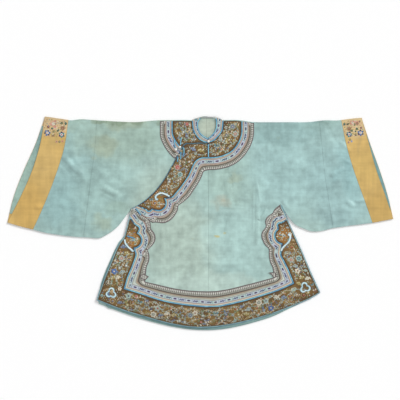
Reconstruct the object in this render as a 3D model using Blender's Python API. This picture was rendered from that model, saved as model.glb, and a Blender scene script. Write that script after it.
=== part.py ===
"""A woman's lined silk coat with wide sleeves and a big side-fastening overlap, laid flat on its back.

Left and right are as seen from above with the neck at the far side. Every piece is a wall of cloth: its outline
is drawn in plan and its height is worked out from what lies under it. Plan tables are in millimetres.
"""

import math

import bmesh
import bpy
from mathutils import Vector
from mathutils.geometry import delaunay_2d_cdt, intersect_line_line_2d

MM = 0.001

# Thicknesses and clearances
WALL = 2.0 * MM
TRIM = 1.0 * MM
PIPING = 1.6 * MM
GAP = 0.3 * MM
SEAM = GAP / 2

# Widths of the woven and piped edges
PIPING_WIDTH = 4.6 * MM
RIBBON_WIDTH = 23.0 * MM
LACE_WIDTH = 20.5 * MM
EDGE_INSET = 2.5 * MM
COLLAR_EDGE = 2.6 * MM
COLLAR_LAP = 7.0 * MM
LINING_INSET = 0.8 * MM
LINING_CLEAR = 0.5 * MM
LINING_END = 320 * MM
LOOP_WIDTH = 4.4 * MM
OVERLAP_PIPING_WIDTH = 2.2 * MM
COLLAR_WALL = 1.5 * MM
CURL_WIDTH = 7.0 * MM
BALL_RADIUS = 5.0 * MM
# How far trims stay from the shoulder fold, and those under the overlap from its edge
FOLD_CLEAR = 1.2 * MM
OVERLAP_CLEAR = 0.6 * MM

# Spacing of the points along curves and inside the panels
SHOULDER_STEP = 60 * MM
UNDERSIDE_STEP = 50 * MM
SIDE_STEP = 40 * MM
LONG_STEP = 34 * MM
EDGE_STEP = 30 * MM
NECK_STEP = 20 * MM
FINE_STEP = 13 * MM
GRID = 62 * MM
CREASE_STEP = 45 * MM
# A loop of more points than this is part of the shape, and a smaller one is an offset that crosses itself
LONGEST_LOOP = 16
# A corner is mitred unless the product of its half turn is smaller than this
SHARP = 0.56
NEARLY = 0.98
# Points nearer to each other than these are one point, in an outline and in a lining's tips
SAME_POINT = 0.1 * MM
LINING_TIP = 1.5 * MM

# The two seams down the middle, and the slope where the right front climbs on to the under front
FRONT_SEAM = 31.2 * MM
BACK_SEAM = 24.0 * MM
SLOPE_TOP = FRONT_SEAM + 20 * MM
SLOPE_FOOT = FRONT_SEAM + 60 * MM
UNDER_FRONT_REACH = 12 * MM
UNDER_FRONT_INSET = 9 * MM
UNDER_FRONT_TOP = 318 * MM
UNDER_FRONT_SHORTER = 34 * MM
NECK_CORNER = 2 * MM

# Heights of the layers above the floor
BACK_TOP = WALL
FRONT_LOW = BACK_TOP + GAP
OVERLAP_LOW = FRONT_LOW + WALL + GAP

# Shoulder fold from the left cuff to the right cuff: across, up
SHOULDER = [(-599, 409), (-548, 402), (-502, 394.5), (-467, 398), (-409, 395), (-317, 389.5), (-248, 387.5),
            (-178, 393.5), (-109, 395), (-32, 395), (80, 395), (145, 395), (199, 388), (345, 387), (422, 388),
            (468, 393.5), (538, 394.5), (584, 401), (622, 404)]
NECK_POINT_LEFT = -32 * MM
NECK_POINT_RIGHT = 80 * MM

# Underside of each sleeve from the cuff to the armpit: across, up
UNDERSIDE_LEFT = [(-743, 3), (-694, -12), (-644, -24), (-594, -37), (-502, -50), (-425, -55), (-386, -56),
                  (-367, -47), (-315, -9), (-290, 24), (-264, 59)]
UNDERSIDE_RIGHT = [(743, 17), (663, 2), (576, -9), (511, -18), (461, -30), (430, -31), (398, -20), (366, -5),
                   (341, 23), (311, 69)]

# Lines across the sleeves: name, and how far across at the top, at each quarter, and at the underside
SLEEVE_LINES = {
    "left_seam": (-399, -407, -422, -436, -450),
    "left_band": (-508, -524, -556, -597, -644),
    "left_front_cuff": (-599, -616, -646, -691, -743),
    "left_back_cuff": (-599, -634, -679, -718, -743),
    "right_seam": (458, 469, 479, 495, 511),
    "right_band": (543, 563, 592, 628, 663),
    "right_front_cuff": (622, 649, 676, 710, 743),
    "right_back_cuff": (622, 654, 689, 720, 743),
}

# Sides of the body from the armpit to the hem: across, up
SIDE_LEFT_FRONT = [(-264, 58), (-275, 12), (-285, -29), (-293, -54), (-310, -78), (-324, -105), (-346, -159),
                   (-370, -218), (-397, -295)]
SIDE_LEFT_BACK = [(-264, 58), (-275, 12), (-285, -29), (-293, -49), (-313, -71), (-328, -100), (-350, -149),
                  (-375, -210), (-395, -288), (-391, -310)]
SIDE_RIGHT = [(311, 69), (355, -32), (391, -111), (426, -193), (460, -267)]
HEM_FRONT = [(-397, -295), (-302, -332), (-204, -362), (-105, -388), (-9, -400), (106, -391), (253, -355),
             (401, -299), (460, -267)]
HEM_BACK = [(-391, -310), (-302, -344), (-204, -375), (-105, -399), (-9, -411), (106, -405), (253, -368),
            (345, -328), (401, -301), (460, -267)]

# Neck: the outer edge of the collar, the edge of the opening, and the collar's back that stands past the fold
COLLAR_FOOT = [(-30, 394), (-26.6, 363), (-15.4, 340), (-1, 323), (18, 313.5), (30, 312), (52, 320.5), (71, 340),
               (83, 359), (87, 394)]
OPENING = [(0, 404), (-9, 392), (-11, 377), (-9, 362), (-1.5, 347), (12.5, 334), (28, 325), (47, 339.5), (55.5, 350),
           (61.5, 366), (63, 390), (61, 404)]
COLLAR_BACK = [(83, 399), (57, 410), (5, 410), (-31, 399)]
COLLAR_DROP = (400 * MM, 408 * MM)
COLLAR_SPLIT = (300 * MM, 342 * MM)
NECK_FOLD = 395 * MM

# Free edge of the overlap from the neck to the left armpit: across, up
OVERLAP_CORNER = [(27, 309.3), (-1, 309.6), (-32, 307.4), (-61, 304.3)]
OVERLAP_SLANT = [(-61, 304.3), (-74, 284), (-97, 245.5), (-131, 184), (-154, 150), (-182, 117), (-217, 86),
                 (-253, 63), (-264, 58)]

# Blue piping round the neck border, and down the slant to the lobes
NECK_LEFT = [(-109, 404), (-108, 344), (-100.5, 324.4), (-89.3, 306.3), (-76, 291), (-45, 268), (-10, 254)]
NECK_RIGHT = [(160, 404), (160, 348.6), (153, 321), (134, 290), (113, 271), (87, 259), (57, 252.5), (29.6, 251.2),
              (3, 250), (-14, 241), (-28, 220.4), (-44, 184), (-76, 136.5), (-107, 101)]

# Cloud lobes of the borders: middle across, middle up, radius, first angle, last angle
OVERLAP_BIG_LOBE = (-161, 78, 30, 33, -108)
OVERLAP_SMALL_LOBE = (-197.5, 56.5, 11.5, -14, -158)
LEFT_SMALL_LOBE = (-246, -21, 12.5, 88, -42)
LEFT_BIG_LOBE = (-256, -65, 31, 62, -86)
RIGHT_BIG_LOBE = (318, -48, 32, 262, 127)
RIGHT_SMALL_LOBE = (307, -8.5, 11, 222, 68)
OVERLAP_LOBE_END = [(-222, 58), (-258, 72)]
LEFT_LOBE_START = [(-273, 26), (-268, 19), (-252, -3)]
LEFT_SLIT = [(-252, -104), (-247, -120), (-252.5, -140), (-265.7, -175.4), (-278, -204), (-292, -251.5)]
RIGHT_SLIT = [(358, -231), (348, -205), (336, -176), (321, -146), (309, -119), (311, -104.5)]
RIGHT_LOBE_END = [(321, 7), (340, 18)]
HEM_PIPING = [(-292, -251.5), (-228, -271), (-155, -295), (-78, -310.5), (22, -320.5), (76, -318.5), (176, -296),
              (249, -274), (303, -256), (358, -231)]
# Where the ribbons of the overlap's lobes meet those of the left slit
RIBBON_MEETING = [(-275, 62), (-252, 48), (-224, 32), (-186, 3), (-160, -12)]

# Outer edges of the lace: round the overlap's lobes, and up both slits and along the hem, a row for each smooth stretch
FRONT_LACE_EDGE = [
    [(-39.7, 105.3), (-60, 86.4), (-83.9, 67.6)],
    [(-83.9, 67.6), (-86.6, 52.2), (-95.9, 33.3), (-109, 16.7), (-123.6, 6.4), (-142.5, 0.6), (-163.2, 2.9)],
    [(-163.2, 2.9), (-182, 2), (-200, -8)],
]
HEM_LACE_EDGE = [
    [(-255, 85), (-215, 45), (-194, 12), (-190.6, -18.4)],
    [(-190.6, -18.4), (-175.9, -40.7), (-172.5, -54.5), (-174.2, -68.3), (-182, -82), (-202.5, -102.6)],
    [(-202.5, -102.6), (-196.5, -122), (-197.4, -145.6), (-206, -168), (-212.1, -224.7)],
    [(-212.1, -224.7), (-160.2, -237), (-103.6, -250.1), (-47.4, -258.5), (9.2, -261.6), (55.4, -261.2),
     (112, -252.8), (168.2, -238.9), (224.8, -224.6), (283, -208.5)],
    [(283, -208.5), (278.4, -172), (268, -148), (264, -120), (263, -97.6)],
    [(263, -97.6), (250.6, -85.3), (240.6, -68.3), (235.2, -49.5), (236.2, -37.2), (252.6, -12)],
    [(252.6, -12), (249.9, 5.6), (256, 22.9), (279.9, 41.8)],
    [(279.9, 41.8), (283.4, 50.3), (295.5, 62.4), (330, 90)],
]
LACE_TABLE_FROM = -30 * MM

# The sides of those routes that each trim lies on, closed round the outside of the coat
FRONT_SIDE = [(-160, -100), (400, -100), (400, 420), (-300, 420)]
HEM_SIDE = [(-150, -100), (-150, 20), (450, 100), (500, -420), (-450, -420), (-450, 60)]
HEM_OUTSIDE = [(500, 50), (500, -420), (-450, -420), (-450, 40)]
NECK_OUTSIDE = [(-260, 100), (-260, 420), (158, 420)]
LEFT_TRIMS_FROM = -240 * MM
# Further out than any edge of the coat
FAR = 500 * MM

# Curls and trefoils of pale blue ribbon: across, up
OVERLAP_CURL = [(-118, 103), (-135, 112), (-150, 116), (-163, 112), (-172, 102), (-171, 93), (-163, 91)]
LEFT_CURL = [(-291, -62), (-288.5, -76), (-280, -88.5), (-268, -99.5), (-257, -109)]
RIGHT_CURL = [(337.5, -46), (343, -41), (346.5, -51), (343.5, -65), (335, -77), (324.5, -86.5), (316, -96), (311, -107)]
TREFOILS = {"left": (-343, -269, -7), "right": (403, -248, 15)}
TREFOIL_WAIST = 10 * MM
TREFOIL_BULGE = 9 * MM
TREFOIL_POINTS = 24
CENTRE_PIPING = [(31.2, 254.5), (31.2, 280), (31.2, 305)]

# Knotted strips of the ball buttons: layer they lie on, and the route across and up
STRIPS = {
    "corner_button_strip_1": ("left", [(-73, 331), (-77, 301)]),
    "corner_button_strip_2": ("left", [(-101, 322), (-97, 291)]),
    "corner_loop_strip_1": ("overlap", [(-74.3, 274), (-76, 246)]),
    "corner_loop_strip_2": ("overlap", [(-64.5, 292), (-62.5, 277), (-65, 260)]),
    "corner_loop_strip_3": ("overlap", [(-86, 256), (-88, 236)]),
    "underarm_strip": ("overlap", [(-247, 56.5), (-236, 41), (-228, 31)]),
    "side_strip": ("overlap", [(-283, -49), (-266, -54), (-251, -59)]),
}
BALLS = {
    "neck_button": ("overlap", 31.5, 314.4),
    "corner_button_1": ("left", -78.5, 293),
    "corner_button_2": ("left", -94, 283),
}

# Creases: across and up of one end, across and up of the other, half width, height
SLEEVE_CREASES = [
    (-529, 259, -456, 184, 17, 5.0), (-390, 148, -298, 96, 19, 6.0), (499, 180, 553, 217, 16, 4.5),
    (556, 92, 600, 58, 14, 4.0), (-640, 60, -580, 66, 12, 3.0), (595, 82, 640, 92, 11, 3.0),
    (230, 10, 256, 56, 10, 4.0),
]
CHEST_CREASES = [
    (219, 150, 219, -120, 13, 4.0), (-147, -18, -147, -105, 12, 3.5), (-40, 39, 190, 42, 15, 2.5),
    (-120, -157, 200, -155, 16, 2.2), (95, 190, 118, 60, 18, 3.0),
]
# Soft swells of the sleeves: middle across, middle up, reach across, reach up, height
SWELLS = [
    (-560, 215, 150, 170, 5.0), (-345, 200, 110, 140, 4.5), (545, 215, 150, 170, 5.0), (350, 200, 120, 140, 4.0),
]

# Colours, roughness and metallic value of each material
MATERIALS = {
    "silk": ((0.38, 0.54, 0.51), 0.5, 0.0),
    "cuff_silk": ((0.59, 0.44, 0.18), 0.5, 0.0),
    "lining": ((0.44, 0.52, 0.44), 0.6, 0.0),
    "embroidery": ((0.23, 0.21, 0.15), 0.7, 0.0),
    "piping": ((0.15, 0.32, 0.52), 0.5, 0.0),
    "pale_ribbon": ((0.55, 0.62, 0.72), 0.55, 0.0),
    "figured_ribbon": ((0.50, 0.47, 0.52), 0.6, 0.0),
    "lace": ((0.28, 0.27, 0.23), 0.7, 0.0),
    "button": ((0.75, 0.76, 0.74), 0.25, 0.6),
}


def clear_scene():
    for old in list(bpy.data.objects):
        bpy.data.objects.remove(old)


def material(kind):
    """The Principled material of this kind, made once."""
    made = bpy.data.materials.get(kind)
    if made is None:
        colour, roughness, metallic = MATERIALS[kind]
        made = bpy.data.materials.new(kind)
        made.use_nodes = True
        shader = made.node_tree.nodes["Principled BSDF"]
        shader.inputs["Base Color"].default_value = (*colour, 1)
        shader.inputs["Roughness"].default_value = roughness
        shader.inputs["Metallic"].default_value = metallic
        made.diffuse_color = (*colour, 1)
    return made


def plan(table):
    """The points of a plan table in metres."""
    return [Vector((across, up)) * MM for across, up in table]


def smooth(points, step):
    """A smooth curve through the points, with points of its own about a step apart."""
    ends = [2 * points[0] - points[1], *points, 2 * points[-1] - points[-2]]
    curve = []
    for before, start, end, after in zip(ends, ends[1:], ends[2:], ends[3:]):
        count = max(1, round((end - start).length / step))
        for k in range(count):
            t = k / count
            bend = (2 * before - 5 * start + 4 * end - after) * t * t
            twist = (3 * start - 3 * end + after - before) * t ** 3
            curve.append((2 * start + (end - before) * t + bend + twist) / 2)
    return curve + [points[-1].copy()]


def curve(table, step=LONG_STEP):
    return smooth(plan(table), step)


def arc(row):
    """The points of a lobe."""
    across, up, radius, first, last = row
    count = max(3, round(abs(last - first) * math.pi / 180 * radius * MM / FINE_STEP) + 1)
    angles = [math.radians(first + (last - first) * k / count) for k in range(count + 1)]
    return [Vector((across + radius * math.cos(a), up + radius * math.sin(a))) * MM for a in angles]


def distance(point, line):
    """How far a point is from an open line."""
    best = math.inf
    for start, end in zip(line, line[1:]):
        way = end - start
        t = (point - start).dot(way) / max(way.length_squared, 1e-18)
        best = min(best, (start + way * min(1, max(0, t)) - point).length)
    return best


def shifted(line, offset):
    """The line moved to its left by the offset, without the points that a tight bend would turn over."""
    moved = []
    for k, point in enumerate(line):
        before = (point - line[k - 1]).normalized() if k else (line[1] - point).normalized()
        after = (line[k + 1] - point).normalized() if k + 1 < len(line) else before
        sides = [Vector((-way.y, way.x)) for way in (before, after)]
        bisector = (sides[0] + sides[1]).normalized()
        if bisector.dot(sides[0]) > SHARP:
            sides = [bisector / bisector.dot(sides[0])]
        for side in sides:
            spot = point + side * offset
            if distance(spot, line) > NEARLY * abs(offset):
                moved.append(spot)
    return uncrossed(moved)


def uncrossed(line):
    """The line without the small loops where it crosses itself."""
    k = 0
    while k < len(line) - 2:
        for other in range(min(k + LONGEST_LOOP, len(line) - 2), k + 1, -1):
            spot = intersect_line_line_2d(line[k], line[k + 1], line[other], line[other + 1])
            if spot is not None:
                line = [*line[:k + 1], spot, *line[other + 1:]]
                break
        k += 1
    return line


def joined(*lines):
    """One line from several, each cut where it crosses the next."""
    whole = list(lines[0])
    for line in lines[1:]:
        crossing = None
        for i in range(len(whole) - 1, 0, -1):
            for j in range(len(line) - 1):
                spot = intersect_line_line_2d(whole[i - 1], whole[i], line[j], line[j + 1])
                if spot is not None:
                    crossing = (i, j, spot)
                    break
            if crossing:
                break
        if crossing:
            i, j, spot = crossing
            whole = [*whole[:i], spot, *line[j + 1:]]
        else:
            whole += line
    tidy = [whole[0]]
    for point in whole[1:]:
        if (point - tidy[-1]).length > SAME_POINT:
            tidy.append(point)
    return tidy


def oblong(left, right, bottom=-FAR, top=FAR):
    return [Vector((left, bottom)), Vector((right, bottom)), Vector((right, top)), Vector((left, top))]


def inside(point, loop):
    """Whether a point lies in a closed loop."""
    found = False
    for a, b in zip(loop, [*loop[1:], loop[0]]):
        if (a.y > point.y) != (b.y > point.y):
            if point.x < a.x + (point.y - a.y) * (b.x - a.x) / (b.y - a.y):
                found = not found
    return found


def part_of(line, first, last):
    """The stretch of a line that runs across between two places."""
    def at(across):
        for a, b in zip(line, line[1:]):
            if min(a.x, b.x) <= across <= max(a.x, b.x):
                return a.lerp(b, (across - a.x) / (b.x - a.x))
        return line[0] if abs(line[0].x - across) < abs(line[-1].x - across) else line[-1]
    low, high = min(first, last), max(first, last)
    between = [p for p in line if low + SAME_POINT < p.x < high - SAME_POINT]
    stretch = [at(low), *sorted(between, key=lambda p: p.x), at(high)]
    return stretch if first < last else stretch[::-1]


def segment_share(point, start, end):
    way = end - start
    t = (point - start).dot(way) / way.length_squared
    return t, (start + way * min(1, max(0, t)) - point).length


def crease_height(point, creases):
    """The height that the creases give the cloth there."""
    total = 0.0
    for x0, y0, x1, y1, half_width, height in creases:
        t, away = segment_share(point, Vector((x0, y0)) * MM, Vector((x1, y1)) * MM)
        if away < half_width * MM:
            taper = max(0.0, 1 - abs(2 * min(1, max(0, t)) - 1) ** 3)
            total += height * MM * taper * (1 - (away / (half_width * MM)) ** 2) ** 2
    return total


def swell_height(point):
    total = 0.0
    for across, up, reach_across, reach_up, height in SWELLS:
        far = ((point.x / MM - across) / reach_across) ** 2 + ((point.y / MM - up) / reach_up) ** 2
        if far < 1:
            total += height * MM * (1 - far) ** 2
    return total


def crease_lines(creases):
    """The crest of each crease and the outline of its foot."""
    lines = []
    for x0, y0, x1, y1, half_width, _ in creases:
        start, end = Vector((x0, y0)) * MM, Vector((x1, y1)) * MM
        way = (end - start).normalized()
        across = Vector((-way.y, way.x)) * half_width * MM
        count = max(3, round((end - start).length / CREASE_STEP))
        crest = [start.lerp(end, k / count) for k in range(count + 1)]
        one, other = ([p + side for p in crest] for side in (across, -across))
        lines += [crest, [start, *one, end], [start, *other, end]]
    return lines


def slope(point):
    """How high the right front is held by the under front: full by the seam and nothing past the slope's foot."""
    share = (SLOPE_FOOT - point.x) / (SLOPE_FOOT - SLOPE_TOP)
    return (OVERLAP_LOW - FRONT_LOW) * min(1, max(0, share))


def back_low(point):
    return 0.0


def left_low(point):
    return FRONT_LOW + crease_height(point, SLEEVE_CREASES) + swell_height(point)


def right_low(point):
    return left_low(point) + slope(point) + crease_height(point, CHEST_CREASES)


def overlap_low(point):
    return FRONT_LOW + slope(point) + crease_height(point, CHEST_CREASES)


def on_left(point):
    return FRONT_LOW + WALL + GAP


def on_right(point):
    return FRONT_LOW + slope(point) + WALL + GAP


def on_back(point):
    return BACK_TOP + GAP


def on_neck(point):
    """Under the collar: the left front, the right front, or nothing past the shoulder fold."""
    if point.x < FRONT_SEAM:
        return on_left(point)
    share = (COLLAR_DROP[1] - point.y) / (COLLAR_DROP[1] - COLLAR_DROP[0])
    return on_left(point) + slope(point) * min(1, max(0, share))


SLOPE_LINES = [[Vector((across, -FAR)), Vector((across, FAR))] for across in (SLOPE_TOP, SLOPE_FOOT)]
DROP_LINES = [[Vector((-FAR, up)), Vector((FAR, up))] for up in COLLAR_DROP]


def grid_dots(loop):
    """Evenly spread points inside a panel."""
    dots = []
    rows = int(1 / GRID)
    for i in range(-rows, rows + 1):
        for j in range(-rows, rows + 1):
            dot = Vector(((i + 0.5 * (j % 2)) * GRID, j * GRID * 0.87))
            if inside(dot, loop) and distance(dot, [*loop, loop[0]]) > GRID / 3:
                dots.append(dot)
    return dots


def triangles(within, without=(), lines=(), dots=()):
    """Plan triangles that lie in every loop of within and in none of without, split along the lines."""
    points, edges = [], []
    for line in [*within, *without]:
        first = len(points)
        points += line
        edges += [(first + k, first + (k + 1) % len(line)) for k in range(len(line))]
    for line in lines:
        first = len(points)
        points += line
        edges += [(first + k, first + k + 1) for k in range(len(line) - 1)]
    points += dots
    spots, _, faces, _, _, _ = delaunay_2d_cdt(points, edges, [], 0, 1e-6)
    kept = []
    for face in faces:
        a, b, c = (spots[k] for k in face)
        middle = (a + b + c) / 3
        wide = abs((b - a).cross(c - a)) > 1e-10
        if wide and all(inside(middle, w) for w in within) and not any(inside(middle, w) for w in without):
            kept.append(face)
    return spots, kept


def rim(faces):
    """The edges that only one triangle has."""
    seen = {}
    for face in faces:
        for a, b in zip(face, [*face[1:], face[0]]):
            if (b, a) in seen:
                del seen[(b, a)]
            else:
                seen[(a, b)] = True
    return list(seen)


def add_wall(mesh, spots, faces, low, thick, open_edge=None):
    """Adds a wall of cloth over plan triangles. The rim stays open along open_edge, whose points it returns."""
    top, bottom = {}, {}
    for k in sorted({k for face in faces for k in face}):
        foot = low(spots[k])
        bottom[k] = mesh.verts.new((spots[k].x, spots[k].y, foot))
        top[k] = mesh.verts.new((spots[k].x, spots[k].y, foot + thick))
    for face in faces:
        mesh.faces.new([top[k] for k in face])
        mesh.faces.new([bottom[k] for k in reversed(face)])
    left_open = set()
    for a, b in rim(faces):
        if open_edge and distance((spots[a] + spots[b]) / 2, open_edge) < 2e-5:
            left_open |= {a, b}
            continue
        mesh.faces.new([top[b], top[a], bottom[a], bottom[b]])
    return [(top[k], bottom[k]) for k in sorted(left_open, key=lambda k: spots[k].x)]


def finished(name, kind, mesh, place=(0, 0, 0)):
    """Makes an object of the mesh."""
    bmesh.ops.triangulate(mesh, faces=mesh.faces)
    bmesh.ops.recalc_face_normals(mesh, faces=mesh.faces)
    data = bpy.data.meshes.new(name)
    mesh.to_mesh(data)
    mesh.free()
    data.materials.append(material(kind))
    made = bpy.data.objects.new(name, data)
    made.location = place
    bpy.context.scene.collection.objects.link(made)
    return made


def lay(name, kind, low, thick, within, without=(), lines=(), dots=()):
    """A piece that lies flat: a wall of cloth in this outline."""
    mesh = bmesh.new()
    spots, faces = triangles(within, without, lines, dots)
    add_wall(mesh, spots, faces, low, thick)
    return finished(name, kind, mesh)


def lay_folded(name, kind, front, back, fold, low, lines=()):
    """A length of cloth folded over along the shoulder: its front lies on its back."""
    mesh = bmesh.new()
    sides = []
    for loop, foot, inner in ((front, low, lines), (back, back_low, ())):
        spots, faces = triangles([loop], lines=[*SLOPE_LINES, *inner], dots=grid_dots(loop))
        sides.append(add_wall(mesh, spots, faces, foot, WALL, open_edge=fold))
    rows = []
    for (front_top, front_bottom), (back_top, back_bottom) in zip(*sides):
        middle = (front_top.co.z + back_bottom.co.z) / 2
        radius = front_top.co.z - middle
        bend = []
        for angle in (math.radians(60), math.radians(120)):
            out = Vector((0, radius * math.sin(angle), middle + radius * math.cos(angle)))
            bend.append(mesh.verts.new((front_top.co.x, front_top.co.y + out.y, out.z)))
        rows.append([front_top, *bend, back_bottom, back_top, front_bottom])
    for one, two in zip(rows, rows[1:]):
        for k in (0, 1, 2, 4):
            mesh.faces.new([one[k], one[k + 1], two[k + 1], two[k]])
    mesh.faces.new(rows[0])
    mesh.faces.new(rows[-1][::-1])
    return finished(name, kind, mesh)


shoulder = curve(SHOULDER, SHOULDER_STEP)
under_left = curve(UNDERSIDE_LEFT, UNDERSIDE_STEP)
under_right = curve(UNDERSIDE_RIGHT, UNDERSIDE_STEP)


def sleeve_line(name, shift=0.0):
    """A line across a sleeve from the shoulder fold to the underside, moved across by the shift."""
    across = [value * MM for value in SLEEVE_LINES[name]]
    across[0] += shift
    across[-1] += shift
    top = part_of(shoulder, across[0], 0)[0]
    foot = part_of(under_left if across[0] < 0 else under_right, across[-1], 0)[0]
    points = [top]
    for k, value in enumerate(across[1:-1], 1):
        points.append(Vector((value + shift, top.y + (foot.y - top.y) * k / 4)))
    return smooth([*points, foot], SIDE_STEP)


def between(side, outer, inner):
    """The outline of a length of sleeve between two lines across it, from the shoulder fold down and back."""
    under = under_left if side == "left" else under_right
    top = part_of(shoulder, inner[0].x, outer[0].x)
    bottom = part_of(under, outer[-1].x, inner[-1].x)
    return joined_loop(top, outer, bottom, inner[::-1])


def joined_loop(*lines):
    """A closed outline from lines that follow each other end to end."""
    loop = []
    for line in lines:
        for point in line:
            if not loop or (point - loop[-1]).length > SAME_POINT:
                loop.append(point)
    if (loop[0] - loop[-1]).length < SAME_POINT:
        loop.pop()
    return loop


def build_sleeves():
    """The lengths past the inner sleeves, and the cuff bands with what shows inside them."""
    for side, way in (("left", -1), ("right", 1)):
        seam = sleeve_line(f"{side}_seam", way * SEAM)
        band = sleeve_line(f"{side}_band", -way * SEAM)
        fold = part_of(shoulder, seam[0].x, band[0].x)
        loop = between(side, band, seam)
        lay_folded(f"{side}_sleeve_end", "silk", loop, loop, fold, left_low, crease_lines(SLEEVE_CREASES))

        band = sleeve_line(f"{side}_band", way * SEAM)
        front_cuff = sleeve_line(f"{side}_front_cuff")
        back_cuff = sleeve_line(f"{side}_back_cuff")
        fold = part_of(shoulder, band[0].x, front_cuff[0].x)
        front = between(side, front_cuff, band)
        back = between(side, back_cuff, band)
        lay_folded(f"{side}_cuff_band", "cuff_silk", front, back, fold, left_low, crease_lines(SLEEVE_CREASES))

        clear = shifted(front_cuff, way * LINING_CLEAR)
        edge = shifted(back_cuff, -way * LINING_INSET)
        lay(f"{side}_cuff_lining", "lining", on_back, TRIM, [spindle(clear, edge)])


def spindle(clear, edge):
    """The outline between two lines that run side by side, where they are far enough apart."""
    first = [p for p in clear[1:-1] if distance(p, edge) > LINING_TIP]
    second = [p for p in edge[1:-1] if distance(p, clear) > LINING_TIP]
    return [*first, *reversed(second)]


def free_edge():
    """The overlap's edge from the front seam round its corner and down to the left armpit."""
    start = Vector((FRONT_SEAM, OVERLAP_CORNER[0][1] * MM))
    return [start, *plan(OVERLAP_CORNER)[:-1], *curve(OVERLAP_SLANT, EDGE_STEP)]


def build_left_body():
    """The back's left half with its inner sleeve, and the under front that the overlap hides from the armpit down."""
    neckline = shifted(curve(COLLAR_FOOT, FINE_STEP), COLLAR_LAP)
    seam = sleeve_line("left_seam", SEAM)
    fold = part_of(shoulder, NECK_POINT_LEFT, seam[0].x)
    hem = curve(HEM_BACK)
    flank = joined(curve(SIDE_LEFT_BACK, SIDE_STEP), part_of(hem, hem[0].x, BACK_SEAM - SEAM)[1:])
    under = part_of(under_left, seam[-1].x, flank[0].x)
    back = joined_loop(fold, seam, under, flank, [Vector((BACK_SEAM - SEAM, NECK_FOLD))])
    # The under front stops short of the hem and of the slit, and passes a little beyond the front seam.
    reach = FRONT_SEAM + UNDER_FRONT_REACH
    side = curve(SIDE_LEFT_FRONT, SIDE_STEP)
    inner_hem = [p + Vector((0, UNDER_FRONT_SHORTER)) for p in curve(HEM_FRONT)]
    inner_hem = part_of(inner_hem, inner_hem[0].x, reach)
    skirt = joined([side[0], *shifted(side[3:], UNDER_FRONT_INSET)], inner_hem)
    rise = [Vector((reach, inner_hem[-1].y)), Vector((reach, UNDER_FRONT_TOP))]
    neck = [p for p in reversed(neckline) if p.x < reach - NECK_CORNER]
    front = joined_loop(fold, seam, part_of(under_left, seam[-1].x, side[0].x), skirt, rise, neck)
    lines = [*crease_lines(SLEEVE_CREASES), curve(OVERLAP_SLANT)]
    lay_folded("left_body", "silk", front, back, fold, left_low, lines)


def build_right_body():
    """The back's right half with its inner sleeve, and the right front as far as the front seam."""
    neckline = shifted(curve(COLLAR_FOOT, FINE_STEP), COLLAR_LAP)
    seam = sleeve_line("right_seam", -SEAM)
    fold = part_of(shoulder, NECK_POINT_RIGHT, seam[0].x)
    flank = curve(SIDE_RIGHT, UNDERSIDE_STEP)
    under = part_of(under_right, seam[-1].x, flank[0].x)
    hem = part_of(curve(HEM_BACK), flank[-1].x, BACK_SEAM + SEAM)
    back = joined_loop(fold, seam, under, flank, hem, [Vector((BACK_SEAM + SEAM, NECK_FOLD))])
    hem = part_of(curve(HEM_FRONT), flank[-1].x, FRONT_SEAM + SEAM)
    neck = [p for p in neckline if p.x > FRONT_SEAM + NECK_CORNER]
    seam_top = [Vector((FRONT_SEAM + SEAM, neck[0].y - NECK_CORNER / 2))]
    front = joined_loop(fold, seam, under, flank, hem, seam_top, neck)
    lines = crease_lines(SLEEVE_CREASES + CHEST_CREASES)
    lay_folded("right_body", "silk", front, back, fold, right_low, lines)


def build_overlap():
    """The big piece sewn to the right front along the middle, which covers the left side down to the hem."""
    side = curve(SIDE_LEFT_FRONT, SIDE_STEP)
    hem = part_of(curve(HEM_FRONT), side[-1].x, FRONT_SEAM - SEAM)
    free = free_edge()
    free[0].x -= SEAM
    loop = joined_loop(free, side, hem)
    lay("front_overlap", "silk", overlap_low, WALL, [loop], lines=crease_lines(CHEST_CREASES), dots=grid_dots(loop))


def strip(route, first, last):
    """The outline between two shifts of a route."""
    return [*shifted(route, first), *reversed(shifted(route, last))]


def stretches(table):
    """A line of smooth stretches with a corner between each two."""
    line = []
    for row in table:
        line += curve(row, NECK_STEP)[len(line) > 0:]
    return line


def ribbons(prefix, route, low, within, lines=SLOPE_LINES, edge=None):
    """The piping on a route, with the figured ribbon and the lace beside it on its left. The lace ends at its edge."""
    half = PIPING_WIDTH / 2
    ribbon = half + GAP
    lace = ribbon + RIBBON_WIDTH + GAP
    edge = edge or shifted(route, lace + LACE_WIDTH)
    rows = (("piping", "piping", strip(route, -half, half), PIPING),
            ("ribbon", "figured_ribbon", strip(route, ribbon, lace - GAP), TRIM),
            ("lace", "lace", [*shifted(route, lace), *reversed(edge)], TRIM))
    for part, kind, outline, thick in rows:
        lay(f"{prefix}_{part}", kind, low, thick, [outline, *within], lines=lines)


def sheet_edge(top_edge):
    """The outline of the right front and the overlap, inside the edge where the borders end."""
    free = shifted(free_edge(), EDGE_INSET)
    slit = shifted(curve(SIDE_LEFT_FRONT, EDGE_STEP), EDGE_INSET)
    hem = shifted(curve(HEM_FRONT), EDGE_INSET)
    flank = shifted(curve(SIDE_RIGHT, UNDERSIDE_STEP)[::-1], EDGE_INSET)
    armpit = SIDE_RIGHT[0][0] * MM - EDGE_INSET
    return joined(free, slit, hem, flank, [Vector((armpit, FAR / 2)), *part_of(top_edge, armpit, FRONT_SEAM)])


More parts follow.
